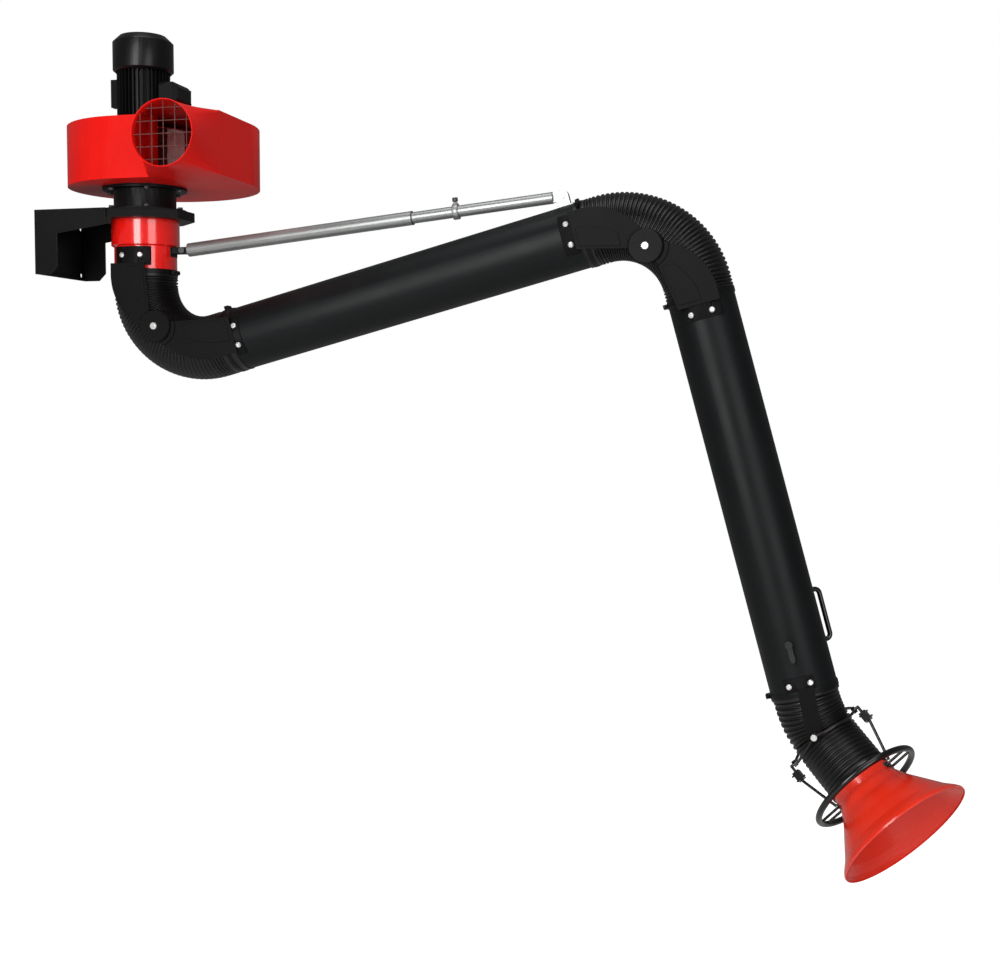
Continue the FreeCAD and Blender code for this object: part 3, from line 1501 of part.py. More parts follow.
# Upper link
tube_start = shoulder_path["end"] + rib_run_arm + touch_gap
tube_stop = upper_span - elbow_path["start"] - rib_run_upper - touch_gap
upper_holes = []
for side in (-1, 1):
    far_s = upper_span - upper_screw_s
    upper_holes.append((side, screw_places(pivot_offset, arm_screw_s) + screw_places(pivot_offset, far_s)))
save("upper_tube", arm_tube(arm_frame, pivot_offset, tube_start, tube_stop, upper_holes))
save("shoulder_arm_plates", plate_pair(arm_frame, pivot_offset, arm_plate_shape, arm_tab,
                                       arm_screw_s, True, tube_r))
save("elbow_upper_plates", plate_pair(upper_frame, pivot_offset, upper_plate_shape, upper_tab,
                                      upper_screw_s, False, tube_r))
save("elbow_pivots", pivot_pair(upper_frame))
near_screws = screw_pairs(arm_frame, pivot_offset, screw_places(pivot_offset, arm_screw_s), tube_r)
far_screws = screw_pairs(upper_frame, pivot_offset, screw_places(pivot_offset, upper_screw_s), tube_r)
save("upper_screws", near_screws + far_screws)
arm_band_s = hose_end_arm - band_inset_arm - band_wide
upper_band_s = hose_end_upper - band_inset_upper - band_wide
save("upper_clamps", [band_clamp(arm_frame, pivot_offset, arm_band_s, band_out, 180),
                      band_clamp(upper_frame, pivot_offset, upper_band_s, band_out, -clamp_turn)])
save("brace_ears", brace_ears())
save("brace_head_pin", pin_with_heads(head_pin_r, tongue_half + ear_gap + ear_wall, head))

# Brace
save("brace_outer_tube", brace_outer_tube())
save("brace_bush", brace_bush())
save("brace_inner_tube", brace_inner_tube())
save("stop_collar", stop_collar())
save("stop_screw", stop_screw())

# Lower link
lower_start = elbow_path["end"] + rib_run_lower + touch_gap
lower_places = screw_places(lower_offset, lower_screw_s) + screw_places(lower_offset, link_screw_s)
lower_tube = arm_tube(lower_frame, lower_offset, lower_start, tube_end,
                      [(side, lower_places) for side in (-1, 1)])
bore = put(rod(damper_shaft_r + running_gap, vec(damper_s, -2 * tube_r, lower_offset),
               vec(damper_s, 2 * tube_r, lower_offset)), lower_frame)
save("lower_tube", lower_tube.cut(bore))
save("elbow_lower_plates", plate_pair(lower_frame, lower_offset, lower_plate_shape, lower_tab,
                                      lower_screw_s, True, tube_r))
save("lower_screws", screw_pairs(lower_frame, lower_offset, lower_places, tube_r))
lower_band_s = hose_end_lower - band_inset - band_wide
save("lower_clamps", [band_clamp(lower_frame, lower_offset, lower_band_s, band_out, 180),
                      band_clamp(lower_frame, lower_offset, band_s, band_out, 180)])
save("grab_handle", grab_handle())
save("link_plates", both(link_plate))
save("damper", damper())

# Hood end
save("gimbal_ring", gimbal_ring())
save("gimbal_bolts", both(gimbal_bolts))
hose_upper, hose_lower = hood_hoses()
save("hood_hose_upper", hose_upper)
save("hood_hose_lower", hose_lower)
save("hood_rods", both(hood_rods))
save("hood", hood())
save("handle_ring", handle_ring())
save("hood_clamps", both(rod_clamps) + [band_clamp(hood_frame, 0, neck_low + over, hood_band_out, -90)])
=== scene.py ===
import json
import math

import bpy
import numpy as np
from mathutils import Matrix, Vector


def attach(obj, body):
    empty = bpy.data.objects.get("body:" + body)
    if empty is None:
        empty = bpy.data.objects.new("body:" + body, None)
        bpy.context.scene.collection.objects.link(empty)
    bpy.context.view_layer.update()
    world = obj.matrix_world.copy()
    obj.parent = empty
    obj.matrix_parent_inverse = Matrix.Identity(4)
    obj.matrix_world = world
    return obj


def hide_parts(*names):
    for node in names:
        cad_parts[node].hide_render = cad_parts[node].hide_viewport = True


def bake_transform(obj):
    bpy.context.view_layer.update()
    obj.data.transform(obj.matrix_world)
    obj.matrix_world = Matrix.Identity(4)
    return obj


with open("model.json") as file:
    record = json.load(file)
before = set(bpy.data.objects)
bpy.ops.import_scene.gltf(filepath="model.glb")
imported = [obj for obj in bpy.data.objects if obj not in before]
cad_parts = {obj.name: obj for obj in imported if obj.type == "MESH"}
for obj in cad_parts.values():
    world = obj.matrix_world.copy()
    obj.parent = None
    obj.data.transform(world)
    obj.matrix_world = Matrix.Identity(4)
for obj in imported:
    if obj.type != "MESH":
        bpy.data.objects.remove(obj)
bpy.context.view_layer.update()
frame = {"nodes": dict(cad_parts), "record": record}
nodes = frame["nodes"]
print("frame loaded,", len(nodes), "nodes")

# Layout of the arm in metres and degrees, the same numbers as the CAD
arm = {
    "shoulder": (0.322, 0.0, -0.213),
    "collarBack": 0.072,
    "upperRise": 15.0,
    "upperSpan": 1.261,
    "upperOffset": 0.0805,
    "lowerOffset": 0.085,
    "lowerLean": 15.15,
    "linkReach": 1.200,
    "linkOut": 0.003,
    "hoodLean": 45.0,
    "hoodRoll": 26.0,
    "earDrop": 0.029,
    "tubeEnd": 1.115,
    "neckLow": 0.118,
}


def unit(v):
    # a vector over its own length
    return v / np.linalg.norm(v)


sideways = np.array([0.0, 1.0, 0.0])
rise = math.radians(arm["upperRise"])
lean = math.radians(arm["lowerLean"])
upperDir = np.array([math.cos(rise), 0, math.sin(rise)])
upperOut = np.array([-math.sin(rise), 0, math.cos(rise)])
lowerDir = np.array([math.sin(lean), 0, -math.cos(lean)])
lowerOut = np.array([math.cos(lean), 0, math.sin(lean)])
tip = math.radians(arm["hoodLean"])
roll = math.radians(arm["hoodRoll"])
hangDir = np.array([math.sin(tip), 0, -math.cos(tip)])
hoodDir = hangDir * math.cos(roll) - sideways * math.sin(roll)
shoulder = np.array(arm["shoulder"])
elbow = shoulder + upperDir * arm["upperSpan"] - upperOut * 2 * arm["upperOffset"]
link = elbow + lowerDir * arm["linkReach"] + lowerOut * (arm["lowerOffset"] + arm["linkOut"])
ear = link + hangDir * arm["earDrop"]


# Mesh helpers
def gridMesh(name, points, closeU=False, closeV=False):
    # a grid of points, rows u and columns v, joined into quads; closed directions wrap round
    rows, cols = points.shape[:2]
    index = np.arange(rows * cols).reshape(rows, cols)
    down = np.roll(index, -1, 0) if closeU else index[1:]
    upRows = index if closeU else index[:-1]
    if closeV:
        a, b = upRows, np.roll(upRows, -1, 1)
        d, c = down, np.roll(down, -1, 1)
    else:
        a, b = upRows[:, :-1], upRows[:, 1:]
        d, c = down[:, :-1], down[:, 1:]
    quads = np.stack([a, b, c, d], -1).reshape(-1, 4)
    mesh = bpy.data.meshes.new(name)
    mesh.vertices.add(rows * cols)
    mesh.vertices.foreach_set("co", points.reshape(-1).astype(np.float32))
    mesh.loops.add(quads.size)
    mesh.loops.foreach_set("vertex_index", quads.reshape(-1).astype(np.int32))
    mesh.polygons.add(len(quads))
    mesh.polygons.foreach_set("loop_start", np.arange(0, quads.size, 4, dtype=np.int32))
    mesh.polygons.foreach_set("use_smooth", np.ones(len(quads), bool))
    mesh.update(calc_edges=True)
    mesh.validate()
    piece = bpy.data.objects.new(name, mesh)
    bpy.context.collection.objects.link(piece)
    return piece


def ringPoints(centres, along, radii, count):
    # circles of the given radii, square to a path that lies near the plane y = 0
    angle = np.linspace(0, 2 * math.pi, count, endpoint=False)
    out = np.cross(along, sideways)
    out /= np.linalg.norm(out, axis=1)[:, None]
    side = np.cross(out, along)
    return (centres[:, None, :]
            + radii[:, None, None] * (np.cos(angle)[None, :, None] * side[:, None, :]
                                      + np.sin(angle)[None, :, None] * out[:, None, :]))


# Materials
def toLinear(hexText):
    # sRGB hex value to linear red, green, blue, alpha
    value = [int(hexText[i:i + 2], 16) / 255 for i in (1, 3, 5)]
    linear = [c / 12.92 if c <= 0.04045 else ((c + 0.055) / 1.055) ** 2.4 for c in value]
    return (*linear, 1.0)


def addNode(tree, kind, settings=(), **inputs):
    # one shader node with its settings; an input takes a value or the output socket that feeds it
    node = tree.nodes.new(kind)
    for key, value in dict(settings).items():
        setattr(node, key, value)
    for key, value in inputs.items():
        byNumber = key[0] == "i" and key[1:].isdigit()
        socket = node.inputs[int(key[1:]) if byNumber else key.replace("_", " ")]
        if isinstance(value, bpy.types.NodeSocket):
            tree.links.new(value, socket)
        else:
            socket.default_value = value
    return node


coatRough = 0.1


def newMaterial(name, colour, rough, metal=0.0, coat=0.0, specular=0.5):
    # one shader whose plain values stand on its own sockets
    material = bpy.data.materials.new(name)
    material.use_nodes = True
    tree = material.node_tree
    shader = tree.nodes["Principled BSDF"]
    shader.inputs["Base Color"].default_value = toLinear(colour)
    shader.inputs["Roughness"].default_value = rough
    shader.inputs["Metallic"].default_value = metal
    shader.inputs["Coat Weight"].default_value = coat
    shader.inputs["Coat Roughness"].default_value = coatRough
    shader.inputs["Specular IOR Level"].default_value = specular
    return material, tree, shader


# Slow patches of shade and gloss, about 110 mm across, under a fine grain
grainShape = {
    "fineDetail": 3.0,
    "slowScale": 9.0,
    "slowDetail": 4.0,
    "slowRange": (0.3, 0.7),
    "roughSpread": 0.04,
}


def grain(tree, shader, scale, height, low, high):
    # a fine noise gives the bump; a slow one mixes the low and high colours and moves the
    # roughness down and up by the spread; scales are waves per metre on Object coordinates
    place = addNode(tree, "ShaderNodeTexCoord")
    fine = addNode(tree, "ShaderNodeTexNoise", Vector=place.outputs["Object"], Scale=scale,
                   Detail=grainShape["fineDetail"])
    bump = addNode(tree, "ShaderNodeBump", Height=fine.outputs["Fac"], Strength=1.0,
                   Distance=height)
    tree.links.new(bump.outputs["Normal"], shader.inputs["Normal"])
    slow = addNode(tree, "ShaderNodeTexNoise", Vector=place.outputs["Object"],
                   Scale=grainShape["slowScale"], Detail=grainShape["slowDetail"])
    rough = shader.inputs["Roughness"].default_value
    spread = grainShape["roughSpread"]
    bottom, top = grainShape["slowRange"]
    band = addNode(tree, "ShaderNodeMapRange", Value=slow.outputs["Fac"], i1=bottom, i2=top,
                   i3=rough - spread, i4=rough + spread)
    tree.links.new(band.outputs["Result"], shader.inputs["Roughness"])
    ramp = addNode(tree, "ShaderNodeMix", {"data_type": "RGBA"}, Factor=slow.outputs["Fac"],
                   i6=toLinear(low), i7=toLinear(high))
    tree.links.new(ramp.outputs[2], shader.inputs["Base Color"])


def zoneMix(tree, shader, value, limit, colour, rough, metal):
    # where the value passes the limit, a step mixes in a second shader with another finish
    step = addNode(tree, "ShaderNodeMath", {"operation": "GREATER_THAN"}, i0=value, i1=limit)
    other = addNode(tree, "ShaderNodeBsdfPrincipled", Base_Color=toLinear(colour),
                    Roughness=rough, Metallic=metal)
    mixed = addNode(tree, "ShaderNodeMixShader", i0=step.outputs["Value"],
                    i1=shader.outputs["BSDF"], i2=other.outputs["BSDF"])
    tree.links.new(mixed.outputs["Shader"], tree.nodes["Material Output"].inputs["Surface"])


# One row for each slot, in the order of paintKeys. A grain of n millimetres has 1000 / n waves per
# metre: the soft waves of enamel, lacquer and galvanised sheet are 4 to 11 mm long, and grain that
# is really finer than a millimetre is drawn at 1.1 to 2 mm, so that it shows in a near view.
# Heights are in metres.
paintKeys = ("name", "colour", "rough", "metal", "specular", "coat",
             "scale", "height", "low", "high")
paints = {
    # satin red powder coat on the fan's sheet steel: clean, with a slow change of shade
    "red_enamel": ("redPowderCoat", "#D6140F", 0.34, 0.0, 0.14, 0.0,
                   90.0, 0.000004, "#CC120E", "#DE1812"),
    # gloss red of the turned collar: an upright band of light
    "collar_gloss": ("collarEnamel", "#D8150F", 0.18, 0.0, 0.35, 0.8,
                     90.0, 0.000004, "#D0130E", "#DE1812"),
    # sprayed orange-red enamel on spun aluminium: a little brighter and smoother
    "hood_red": ("hoodEnamel", "#DE2A16", 0.26, 0.0, 0.3, 0.4,
                 90.0, 0.000006, "#D62412", "#E6341C"),
    # black powder coat: fine grain that breaks up the highlight
    "black_enamel": ("blackPowderCoat", "#0A0A0B", 0.42, 0.0, 0.14, 0.0,
                     800.0, 0.00003, "#080808", "#0E0E0F"),
    # sprayed black on the motor cowl: smoother, with clear vertical bands of light
    "cowl_black": ("motorCowlPaint", "#0B0B0C", 0.32, 0.0, 0.22, 0.0,
                   800.0, 0.000015, "#090909", "#0F0F10"),
    # black lacquer on rolled tube: a broad soft sheen, slightly green
    "tube_black": ("tubeLacquer", "#0D0F10", 0.42, 0.0, 0.14, 0.0,
                   260.0, 0.000015, "#0B0D0E", "#111314"),
    # dipped black coat on pressed steel: dull and slightly warm
    "plate_grey": ("pressedPlateCoat", "#0F0E0F", 0.50, 0.0, 0.07, 0.0,
                   600.0, 0.00002, "#0D0C0D", "#131213"),
    # glass-filled nylon of the pivot discs: satin, with a rounded bright edge
    "pivot_black": ("pivotNylon", "#0E0E0F", 0.42, 0.0, 0.07, 0.0,
                    700.0, 0.00002, "#0C0C0D", "#121213"),
    # coated fabric hose over a wire: ribs catch the light, valleys stay black
    "hose_black": ("hoseSkin", "#090909", 0.36, 0.0, 0.36, 0.0,
                   500.0, 0.00005, "#070707", "#0C0C0C"),
    # gasket rubber: dead matt
    "gasket_rubber": ("gasketRubber", "#101010", 0.75, 0.0, 0.3, 0.0,
                      600.0, 0.00005, "#0E0E0E", "#141414"),
    # zinc-plated screws: small bright sparks
    "bright_screws": ("zincPlate", "#E0E0DE", 0.26, 0.6, 0.5, 0.0,
                      900.0, 0.00003, "#D8D8D6", "#E8E8E6"),
    # drawn aluminium tube: a narrow bright line over a grey body and a dark underside
    "brace_grey": ("drawnAluminium", "#8C8E8D", 0.32, 0.6, 0.5, 0.0,
                   500.0, 0.000015, "#848685", "#949695"),
    # turned aluminium of the stop collar and the ears
    "stop_silver": ("turnedAluminium", "#8E9090", 0.34, 0.6, 0.5, 0.0,
                    500.0, 0.000015, "#868888", "#989A9A"),
    # grey nylon bush at the mouth of the outer tube
    "bush_grey": ("bushNylon", "#3A3A3A", 0.45, 0.0, 0.4, 0.0,
                  700.0, 0.00005, "#353535", "#404040"),
    # blackened thumb screw, worn to grey
    "knob_black": ("blackenedScrew", "#3C3C3D", 0.36, 0.5, 0.45, 0.0,
                   500.0, 0.00002, "#343435", "#464647"),
    # dark zinc of the flange bolts and the foot pin: painted shade for the flange bolts, which sit
    # in shade under the fan's flange, so they hardly show against the black
    "shaded_dark_bolts": ("shadedDarkZinc", "#4A4A4A", 0.45, 0.6, 0.4, 0.0,
                   500.0, 0.00002, "#424242", "#525252"),
    # galvanised sheet of the impeller: pale and smooth
    "impeller_silver": ("galvanisedSheet", "#D4D4D4", 0.30, 1.0, 0.5, 0.0,
                        200.0, 0.00003, "#CCCCCC", "#DCDCDC"),
    # ground steel of the shaft
    "shaft_steel": ("groundSteel", "#A5A5A6", 0.28, 1.0, 0.5, 0.0,
                    600.0, 0.00004, "#9D9D9E", "#ADADAE"),
    # laminated iron inside the motor
    "core_steel": ("laminatedIron", "#3C3C3E", 0.50, 0.6, 0.5, 0.0,
                   600.0, 0.00008, "#363638", "#424244"),
    # dull wire of the outlet guard, tinted red: painted reflection of the red casing round it
    "guard_wire": ("guardWireRedReflection", "#5A3A36", 0.50, 0.0, 0.3, 0.0,
                   600.0, 0.00004, "#523430", "#62403C"),
    # cooling fan plastic
    "fan_plastic": ("fanPlastic", "#0E0E0E", 0.55, 0.0, 0.4, 0.0,
                    600.0, 0.00006, "#0C0C0C", "#121212"),
    # cable gland plastic
    "gland_plastic": ("glandPlastic", "#101011", 0.50, 0.0, 0.4, 0.0,
                      600.0, 0.00006, "#0E0E0F", "#141415"),
    # black coat on the damper's lever and knob
    "damper_steel": ("damperCoat", "#141414", 0.34, 0.0, 0.5, 0.0,
                     700.0, 0.00003, "#111111", "#181818"),
    # glossy black dip on the handle tube and wires: thin sharp highlights
    "handle_black": ("blackGlossCoat", "#080808", 0.22, 0.0, 0.4, 0.2,
                     500.0, 0.000015, "#060606", "#0B0B0B"),
}


# Two slots have another finish beyond a limit in metres
zincNut = {"limit": 0.0989, "colour": "#E2E2DE", "rough": 0.26, "metal": 0.6}
blackTongue = {"limit": -0.3707, "colour": "#0E0E0F", "rough": 0.4, "metal": 0.0}
downBrace = (-0.99448, 0.0, -0.10489)


def markNuts(tree, shader):
    # the nut and the stud outside the cover disc are zinc: |y| over the limit
    place = addNode(tree, "ShaderNodeTexCoord")
    axes = addNode(tree, "ShaderNodeSeparateXYZ", Vector=place.outputs["Object"])
    outward = addNode(tree, "ShaderNodeMath", {"operation": "ABSOLUTE"}, i0=axes.outputs["Y"])
    zoneMix(tree, shader, outward.outputs["Value"], **zincNut)


def markTongue(tree, shader):
    # the tongue at the brace's foot is blackened: the place's share down the brace over the limit
    place = addNode(tree, "ShaderNodeTexCoord")
    along = addNode(tree, "ShaderNodeVectorMath", {"operation": "DOT_PRODUCT"},
                    i0=place.outputs["Object"], i1=downBrace)
    zoneMix(tree, shader, along.outputs["Value"], **blackTongue)


def makeMaterials():
    # one material for each slot, and a second finish on the two slots that have one
    made = {}
    for slot, row in paints.items():
        look = dict(zip(paintKeys, row))
        material, tree, shader = newMaterial(look["name"], look["colour"], look["rough"],
                                             look["metal"], look["coat"], look["specular"])
        grain(tree, shader, look["scale"], look["height"], look["low"], look["high"])
        if slot == "pivot_black":
            markNuts(tree, shader)
        if slot == "brace_grey":
            markTongue(tree, shader)
        made[slot] = material
    return made


materials = makeMaterials()
print("materials made:", len(materials))


def dress(piece, slot):
    # gives a new piece the material of its slot
    piece.data.materials.clear()
    piece.data.materials.append(materials[slot])
    return piece


slotOf = {s["node"]: s["material_slot"] for s in frame["record"]["subparts"]}
# Pieces whose finish in the photograph differs from that of their class
slotOf.update({
    "swivel_collar": "collar_gloss",
    # the flange bolts take the darkened zinc as painted shade under the fan's flange
    "bracket_bolts": "shaded_dark_bolts",
    "fan_bolts": "shaded_dark_bolts",
    "brace_foot_pin": "shaded_dark_bolts",
    "brace_ears": "stop_silver",
})

for name, node in nodes.items():
    node.data.materials.clear()
    node.data.materials.append(materials[slotOf[name]])


# Edge radii in metres, by how the piece is made
edges = {
    # cut sheet, small turned pieces and screws
    0.0004: ("outlet_duct", "inlet_spigot", "motor_plate", "damper", "brace_clevis", "brace_ears",
             "stop_collar", "brace_bush", "collar_screws", "upper_screws", "lower_screws"),
    # pressed plates, clamps and small boxes
    0.0007: ("shoulder_collar_plates", "shoulder_arm_plates", "elbow_upper_plates",
             "elbow_lower_plates", "link_plates", "hood_clamps", "terminal_lid", "terminal_box",
             "gimbal_bolts"),
    # folded, cast and moulded pieces
    0.0012: ("wall_bracket", "swivel_ring", "shoulder_pivots", "elbow_pivots", "fan_cowl",
             "stop_screw"),
    # rims of the rolled casing
    0.0030: ("fan_casing",),
}
softEdge = {"weld": 0.00002, "segments": 2, "turn": 35}


def soften(node, radius):
    # vertices joined within the weld's reach, then a rounded edge where two faces meet at more
    # than the turn in degrees
    weld = node.modifiers.new("joined", "WELD")
    weld.merge_threshold = softEdge["weld"]
    bevel = node.modifiers.new("softEdge", "BEVEL")
    bevel.width = radius
    bevel.segments = softEdge["segments"]
    bevel.limit_method = "ANGLE"
    bevel.angle_limit = math.radians(softEdge["turn"])
    bevel.harden_normals = True


for radius, names in edges.items():
    for name in names:
        soften(nodes[name], radius)
print("edges softened")


# Hoses: fine ribs carried along the path of each bend; radii and pitch in metres
hose = {
    "crest": 0.082,
    "root": 0.0776,
    "bore": 0.075,
    "pitch": 0.0084,
    "ribLift": 1.25,
    "ribPower": 0.8,
    "ringsPerRib": 8,
    "segments": 128,
}


def bendPath(footA, dirA, footB, dirB, radius, runs, steps):
    # straight run, arc that touches both tube axes, straight run; d is the way along them, 0 where
    # the arc starts
    turn = math.pi - math.acos(float(np.dot(dirA, dirB)))
    cross = dirA[0] * dirB[2] - dirA[2] * dirB[0]
    gap = footB - footA
    reach = (gap[0] * dirB[2] - gap[2] * dirB[0]) / cross
    start = footA + dirA * (reach + radius * math.tan(turn / 2))
    inward = unit(dirB + dirA * math.cos(turn))
    centre = start + inward * radius
    long = radius * turn
    d = np.linspace(-runs[0], long + runs[1], steps)[:, None]
    a = np.clip(d, 0, long) / radius
    spots = (centre - inward * radius * np.cos(a) - dirA * radius * np.sin(a)
             - dirA * np.minimum(d, 0) + dirB * np.maximum(d - long, 0))
    along = inward * np.sin(a) - dirA * np.cos(a)
    return spots, along, long + sum(runs)


def ribWave(phase):
    # a raised cosine, lifted and cut off at the crest: a broad crest and a narrow valley
    wave = 0.5 - 0.5 * np.cos(2 * math.pi * phase)
    return np.clip(hose["ribLift"] * wave, 0, 1) ** hose["ribPower"]


def sleeve(name, spots, along, outer, inner):
    # circles of the outer radii out along the path and of the inner radii back, as one closed skin
    skin = ringPoints(spots, along, outer, hose["segments"])
    lining = ringPoints(spots, along, inner, hose["segments"])[::-1]
    points = np.concatenate([skin, lining])[:, ::-1]
    return dress(gridMesh(name, points, True, True), "hose_black")


def ribbedTube(name, spots, along, crest, ribs):
    # outer radius: the crest less the rib's depth as far as the wave is low; inner: less the wall
    phase = np.linspace(0, ribs, len(spots)) % 1.0
    outer = crest - (hose["crest"] - hose["root"]) * (1 - ribWave(phase))
    inner = crest - (hose["crest"] - hose["bore"])
    return sleeve(name, spots, along, outer, inner)


# Stations of a cuff: the first three from the hose end, the rest back from the free end
cuffShape = {
    "fromHose": (-0.0015, 0.0, 0.004),
    "fromEnd": (0.006, 0.0024, 0.0018, 0.0006, 0.0),
    "outer": (0.0790, 0.0812, 0.0813, 0.0813, 0.0813, 0.0819, 0.0819, 0.0812),
    "inner": (0.0755, 0.0803, 0.0803, 0.0803, 0.0803, 0.0803, 0.0803, 0.0803),
}


def makeCuff(name, place, way, length, less, body, node):
    # a smooth sleeve with a rolled hem at its free end; less is taken off its radii
    d = np.array(list(cuffShape["fromHose"]) + [length - back for back in cuffShape["fromEnd"]])
    outer = np.array(cuffShape["outer"]) - less
    inner = np.array(cuffShape["inner"]) - less
    along = np.repeat(way[None, :], len(d), 0)
    cuff = sleeve(name, place + way * d[:, None], along, outer, inner)
    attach(cuff, body)
    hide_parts(node)


def makeBendHose(name, ends, bodies, node, shape):
    # ribs along the bend between two tube ends (foot and direction of each), and a plain cuff
    # clamped over each tube
    runs, margin, cuffs = shape["runs"], shape["margin"], shape["cuffs"]
    path = (*ends, shape["radius"], runs)
    ribs = round(bendPath(*path, 2)[2] / hose["pitch"])
    spots, along = bendPath(*path, ribs * hose["ringsPerRib"] + 1)[:2]
    piece = ribbedTube(name, spots, along, np.full(len(spots), hose["crest"]), ribs)
    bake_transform(piece)
    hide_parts(node)
    makeCuff(name + "CuffA", spots[0], -along[0], cuffs[0], 0.0, bodies[0], node)
    makeCuff(name + "CuffB", spots[-1], along[-1], cuffs[1], 0.0, bodies[1], node)


# For each bend: its radius, the straight runs and the cuffs' lengths at both ends, and how far
# from the ends of the arc the blend starts
shoulderHose = {
    "radius": 0.163,
    "runs": (0.020, 0.032),
    "cuffs": (0.0202, 0.0397),
    "margin": 0.066,
}
elbowHose = {
    "radius": 0.188,
    "runs": (0.020, 0.026),
    "cuffs": (0.0273, 0.0168),
    "margin": 0.060,
}
collarFoot = shoulder - np.array([arm["collarBack"], 0, 0])
collarUp = np.array([0.0, 0.0, 1.0])
upperFoot = shoulder - upperOut * arm["upperOffset"]
upperHead = elbow + upperOut * arm["upperOffset"]
lowerHead = elbow + lowerOut * arm["lowerOffset"]
makeBendHose("shoulderHose", (collarFoot, collarUp, upperFoot, upperDir),
             ("arm", "upper_arm"), "shoulder_hose", shoulderHose)
makeBendHose("elbowHose", (upperHead, -upperDir, lowerHead, lowerDir),
             ("upper_arm", "lower_arm"), "elbow_hose", elbowHose)
print("elbow hoses made")

# Hood hose: one ribbed skin in two halves that meet at the gimbal. Sway moves its middle sideways,
# shares of the span set the two knots next to its ends, and less is taken off a cuff's radii.
hoodHose = {
    "startCrest": 0.0778,
    "endCrest": 0.0782,
    "ribs": 20,
    "ribsAbove": 9,
    "sway": 0.011,
    "shares": (0.2, 0.28),
    "blendShare": 0.04,
    "curveSteps": 2001,
    "upperCuff": {"length": 0.020, "less": 0.0},
    "lowerCuff": {"length": 0.018, "less": 0.0040},
}


def hoodPath(steps):
    # curve of six knots, sum of C(5, i) (1 - t)^(5 - i) t^i knot i, resampled to even lengths
    first = elbow + lowerDir * arm["tubeEnd"] + lowerOut * arm["lowerOffset"]
    last = ear + hoodDir * arm["neckLow"]
    span = np.linalg.norm(last - first)
    a, b = hoodHose["shares"]
    knots = [first, first + lowerDir * span * a, link + sideways * hoodHose["sway"],
             ear + sideways * hoodHose["sway"] / 2, last - hoodDir * span * b, last]
    t = np.linspace(0, 1, hoodHose["curveSteps"])[:, None]
    top = len(knots) - 1
    curve = sum(math.comb(top, i) * (1 - t) ** (top - i) * t ** i * knots[i]
                for i in range(top + 1))
    way = np.concatenate([[0], np.cumsum(np.linalg.norm(np.diff(curve, axis=0), axis=1))])
    even = np.linspace(0, way[-1], steps)
    spots = np.stack([np.interp(even, way, curve[:, k]) for k in range(3)], 1)
    along = np.gradient(spots, axis=0)
    along[0], along[-1] = lowerDir, hoodDir
    return spots, along / np.linalg.norm(along, axis=1)[:, None]


def makeHoodHose():
    # the path's upper rings go to one half, the rest to the other, and a cuff stands at each end
    rings = hose["ringsPerRib"]
    spots, along = hoodPath(hoodHose["ribs"] * rings + 1)
    crest = np.linspace(hoodHose["startCrest"], hoodHose["endCrest"], len(spots))
    above = hoodHose["ribsAbove"]
    below = hoodHose["ribs"] - above
    cut = above * rings
    halves = (
        ("hoodHoseUpper", slice(0, cut + 1), above, "lower_arm", "gimbal", "hood_hose_upper"),
        ("hoodHoseLower", slice(cut, None), below, "gimbal", "hood", "hood_hose_lower"),
    )
    for name, part, ribs, bodyAbove, bodyBelow, node in halves:
        piece = ribbedTube(name, spots[part], along[part], crest[part], ribs)
        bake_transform(piece)
        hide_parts(node)
    upper, lower = hoodHose["upperCuff"], hoodHose["lowerCuff"]
    makeCuff("hoodHoseCuffA", spots[0], -lowerDir, upper["length"], upper["less"],
             "lower_arm", "hood_hose_upper")
    makeCuff("hoodHoseCuffB", spots[-1], hoodDir, lower["length"], lower["less"],
             "hood", "hood_hose_lower")


makeHoodHose()
print("hood hose made")

# Camera at the photograph's viewing angle: metres, degrees down and to the left, millimetres
camera = {
    "place": (2.1030, -3.5066, -0.3967),
    "pitch": 3.2072,
    "yaw": 14.3248,
    "lens": 52.61,
    "width": 36.0,
    "farEnd": 100.0,
}


def makeCamera():
    # the lens is given for the whole width of the frame
    data = bpy.data.cameras.new("photoCamera")
    data.lens = camera["lens"]
    data.sensor_width = camera["width"]
    data.sensor_fit = "HORIZONTAL"
    data.clip_end = camera["farEnd"]
    eye = bpy.data.objects.new("photoCamera", data)
    eye.location = camera["place"]
    eye.rotation_euler = (math.radians(90 - camera["pitch"]), 0, math.radians(camera["yaw"]))
    bpy.context.collection.objects.link(eye)
    bpy.context.scene.camera = eye


makeCamera()

# Pale floor and soft studio light: a tall panel left of the camera draws the bright bands
studio = {
    "floorZ": -2.1,
    "floorX": 1.0,
    "floorHalf": 14.0,
    "floorColour": "#E8E8E6",
    "floorRough": 0.9,
    "floorSpecular": 0.1,
    "floorGlow": 0.86,
    "roomLight": 0.17,
    "lights": (
        {"name": "keyPanel", "place": (0.25, -4.3, 0.4), "aim": (0.35, 0, -0.1),
         "size": (1.6, 3.2), "watts": 165},
        {"name": "fillPanel", "place": (4.4, -3.6, 0.2), "aim": (1.4, 0, -0.5),
         "size": (2.4, 2.8), "watts": 85},
        {"name": "topPanel", "place": (1.2, -0.6, 3.0), "aim": (1.1, 0, -0.4),
         "size": (3.0, 2.0), "watts": 60},
    ),
}


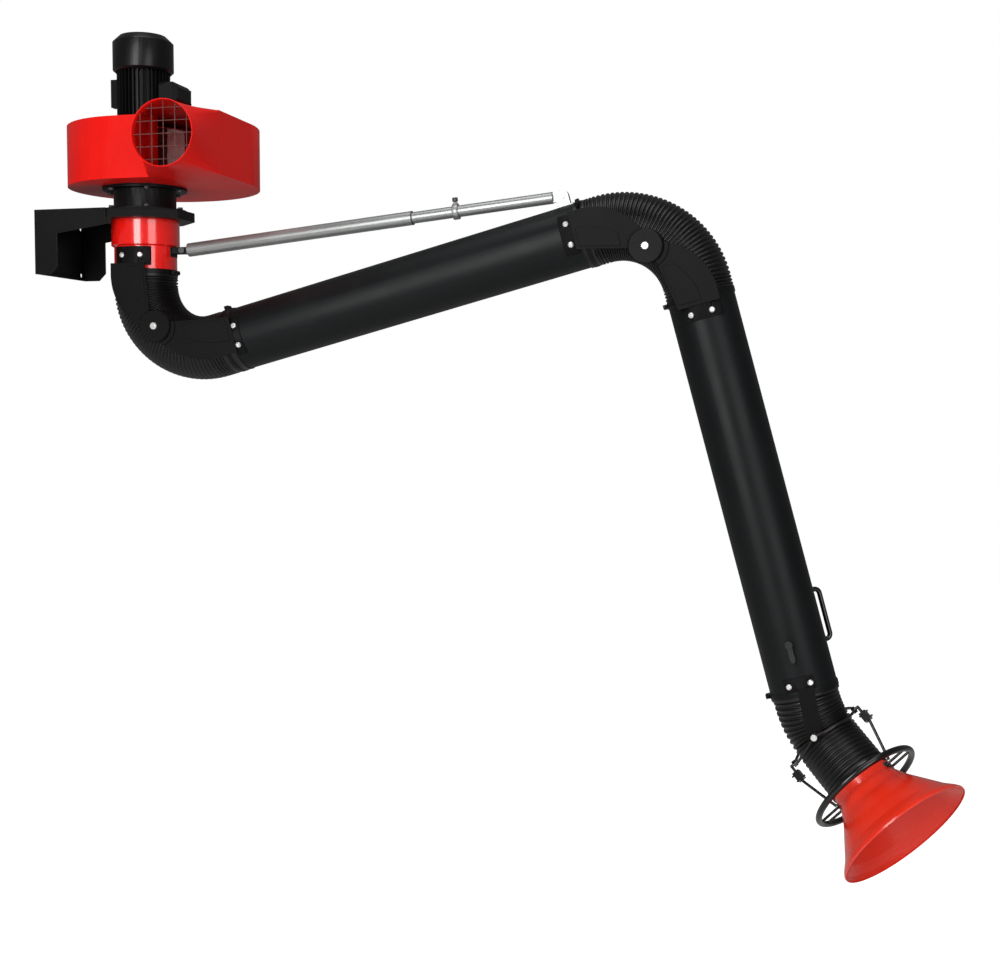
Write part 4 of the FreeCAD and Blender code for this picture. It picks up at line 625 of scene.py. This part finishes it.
def makeFloor():
    # one square face, twice its half width across
    half = studio["floorHalf"]
    corners = half * np.array([[(-1, -1, 0), (-1, 1, 0)], [(1, -1, 0), (1, 1, 0)]])
    floor = gridMesh("studioFloor", corners + np.array([studio["floorX"], 0.0, studio["floorZ"]]))
    material, tree, shader = newMaterial("paleFloor", studio["floorColour"], studio["floorRough"],
                                         specular=studio["floorSpecular"])
    # lit floor plus a glow that only the camera sees, so the shadow stays and the rest is white
    path = addNode(tree, "ShaderNodeLightPath")
    level = addNode(tree, "ShaderNodeMath", {"operation": "MULTIPLY"},
                    i0=path.outputs["Is Camera Ray"], i1=studio["floorGlow"])
    tree.links.new(level.outputs["Value"], shader.inputs["Emission Strength"])
    shader.inputs["Emission Color"].default_value = (1, 1, 1, 1)
    floor.data.materials.append(material)


def makeStudio():
    # floor, rectangular lamps that face their aims, and the room
    makeFloor()
    for panel in studio["lights"]:
        data = bpy.data.lights.new(panel["name"], "AREA")
        data.shape = "RECTANGLE"
        data.size, data.size_y = panel["size"]
        data.energy = panel["watts"]
        lamp = bpy.data.objects.new(panel["name"], data)
        place = Vector(panel["place"])
        lamp.location = place
        lamp.rotation_euler = (Vector(panel["aim"]) - place).to_track_quat("-Z", "Y").to_euler()
        bpy.context.collection.objects.link(lamp)
    # the camera sees a white room, the object a dimmer one, so that black stays black
    world = bpy.data.worlds.new("studioRoom")
    bpy.context.scene.world = world
    world.use_nodes = True
    tree = world.node_tree
    tree.nodes.clear()
    path = addNode(tree, "ShaderNodeLightPath")
    dim = addNode(tree, "ShaderNodeBackground", Color=(1, 1, 1, 1), Strength=studio["roomLight"])
    white = addNode(tree, "ShaderNodeBackground", Color=(1, 1, 1, 1), Strength=1.0)
    mixed = addNode(tree, "ShaderNodeMixShader", i0=path.outputs["Is Camera Ray"],
                    i1=dim.outputs["Background"], i2=white.outputs["Background"])
    addNode(tree, "ShaderNodeOutputWorld", Surface=mixed.outputs["Shader"])


makeStudio()
bpy.context.scene.view_settings.view_transform = "Standard"
print("camera, light and floor made")
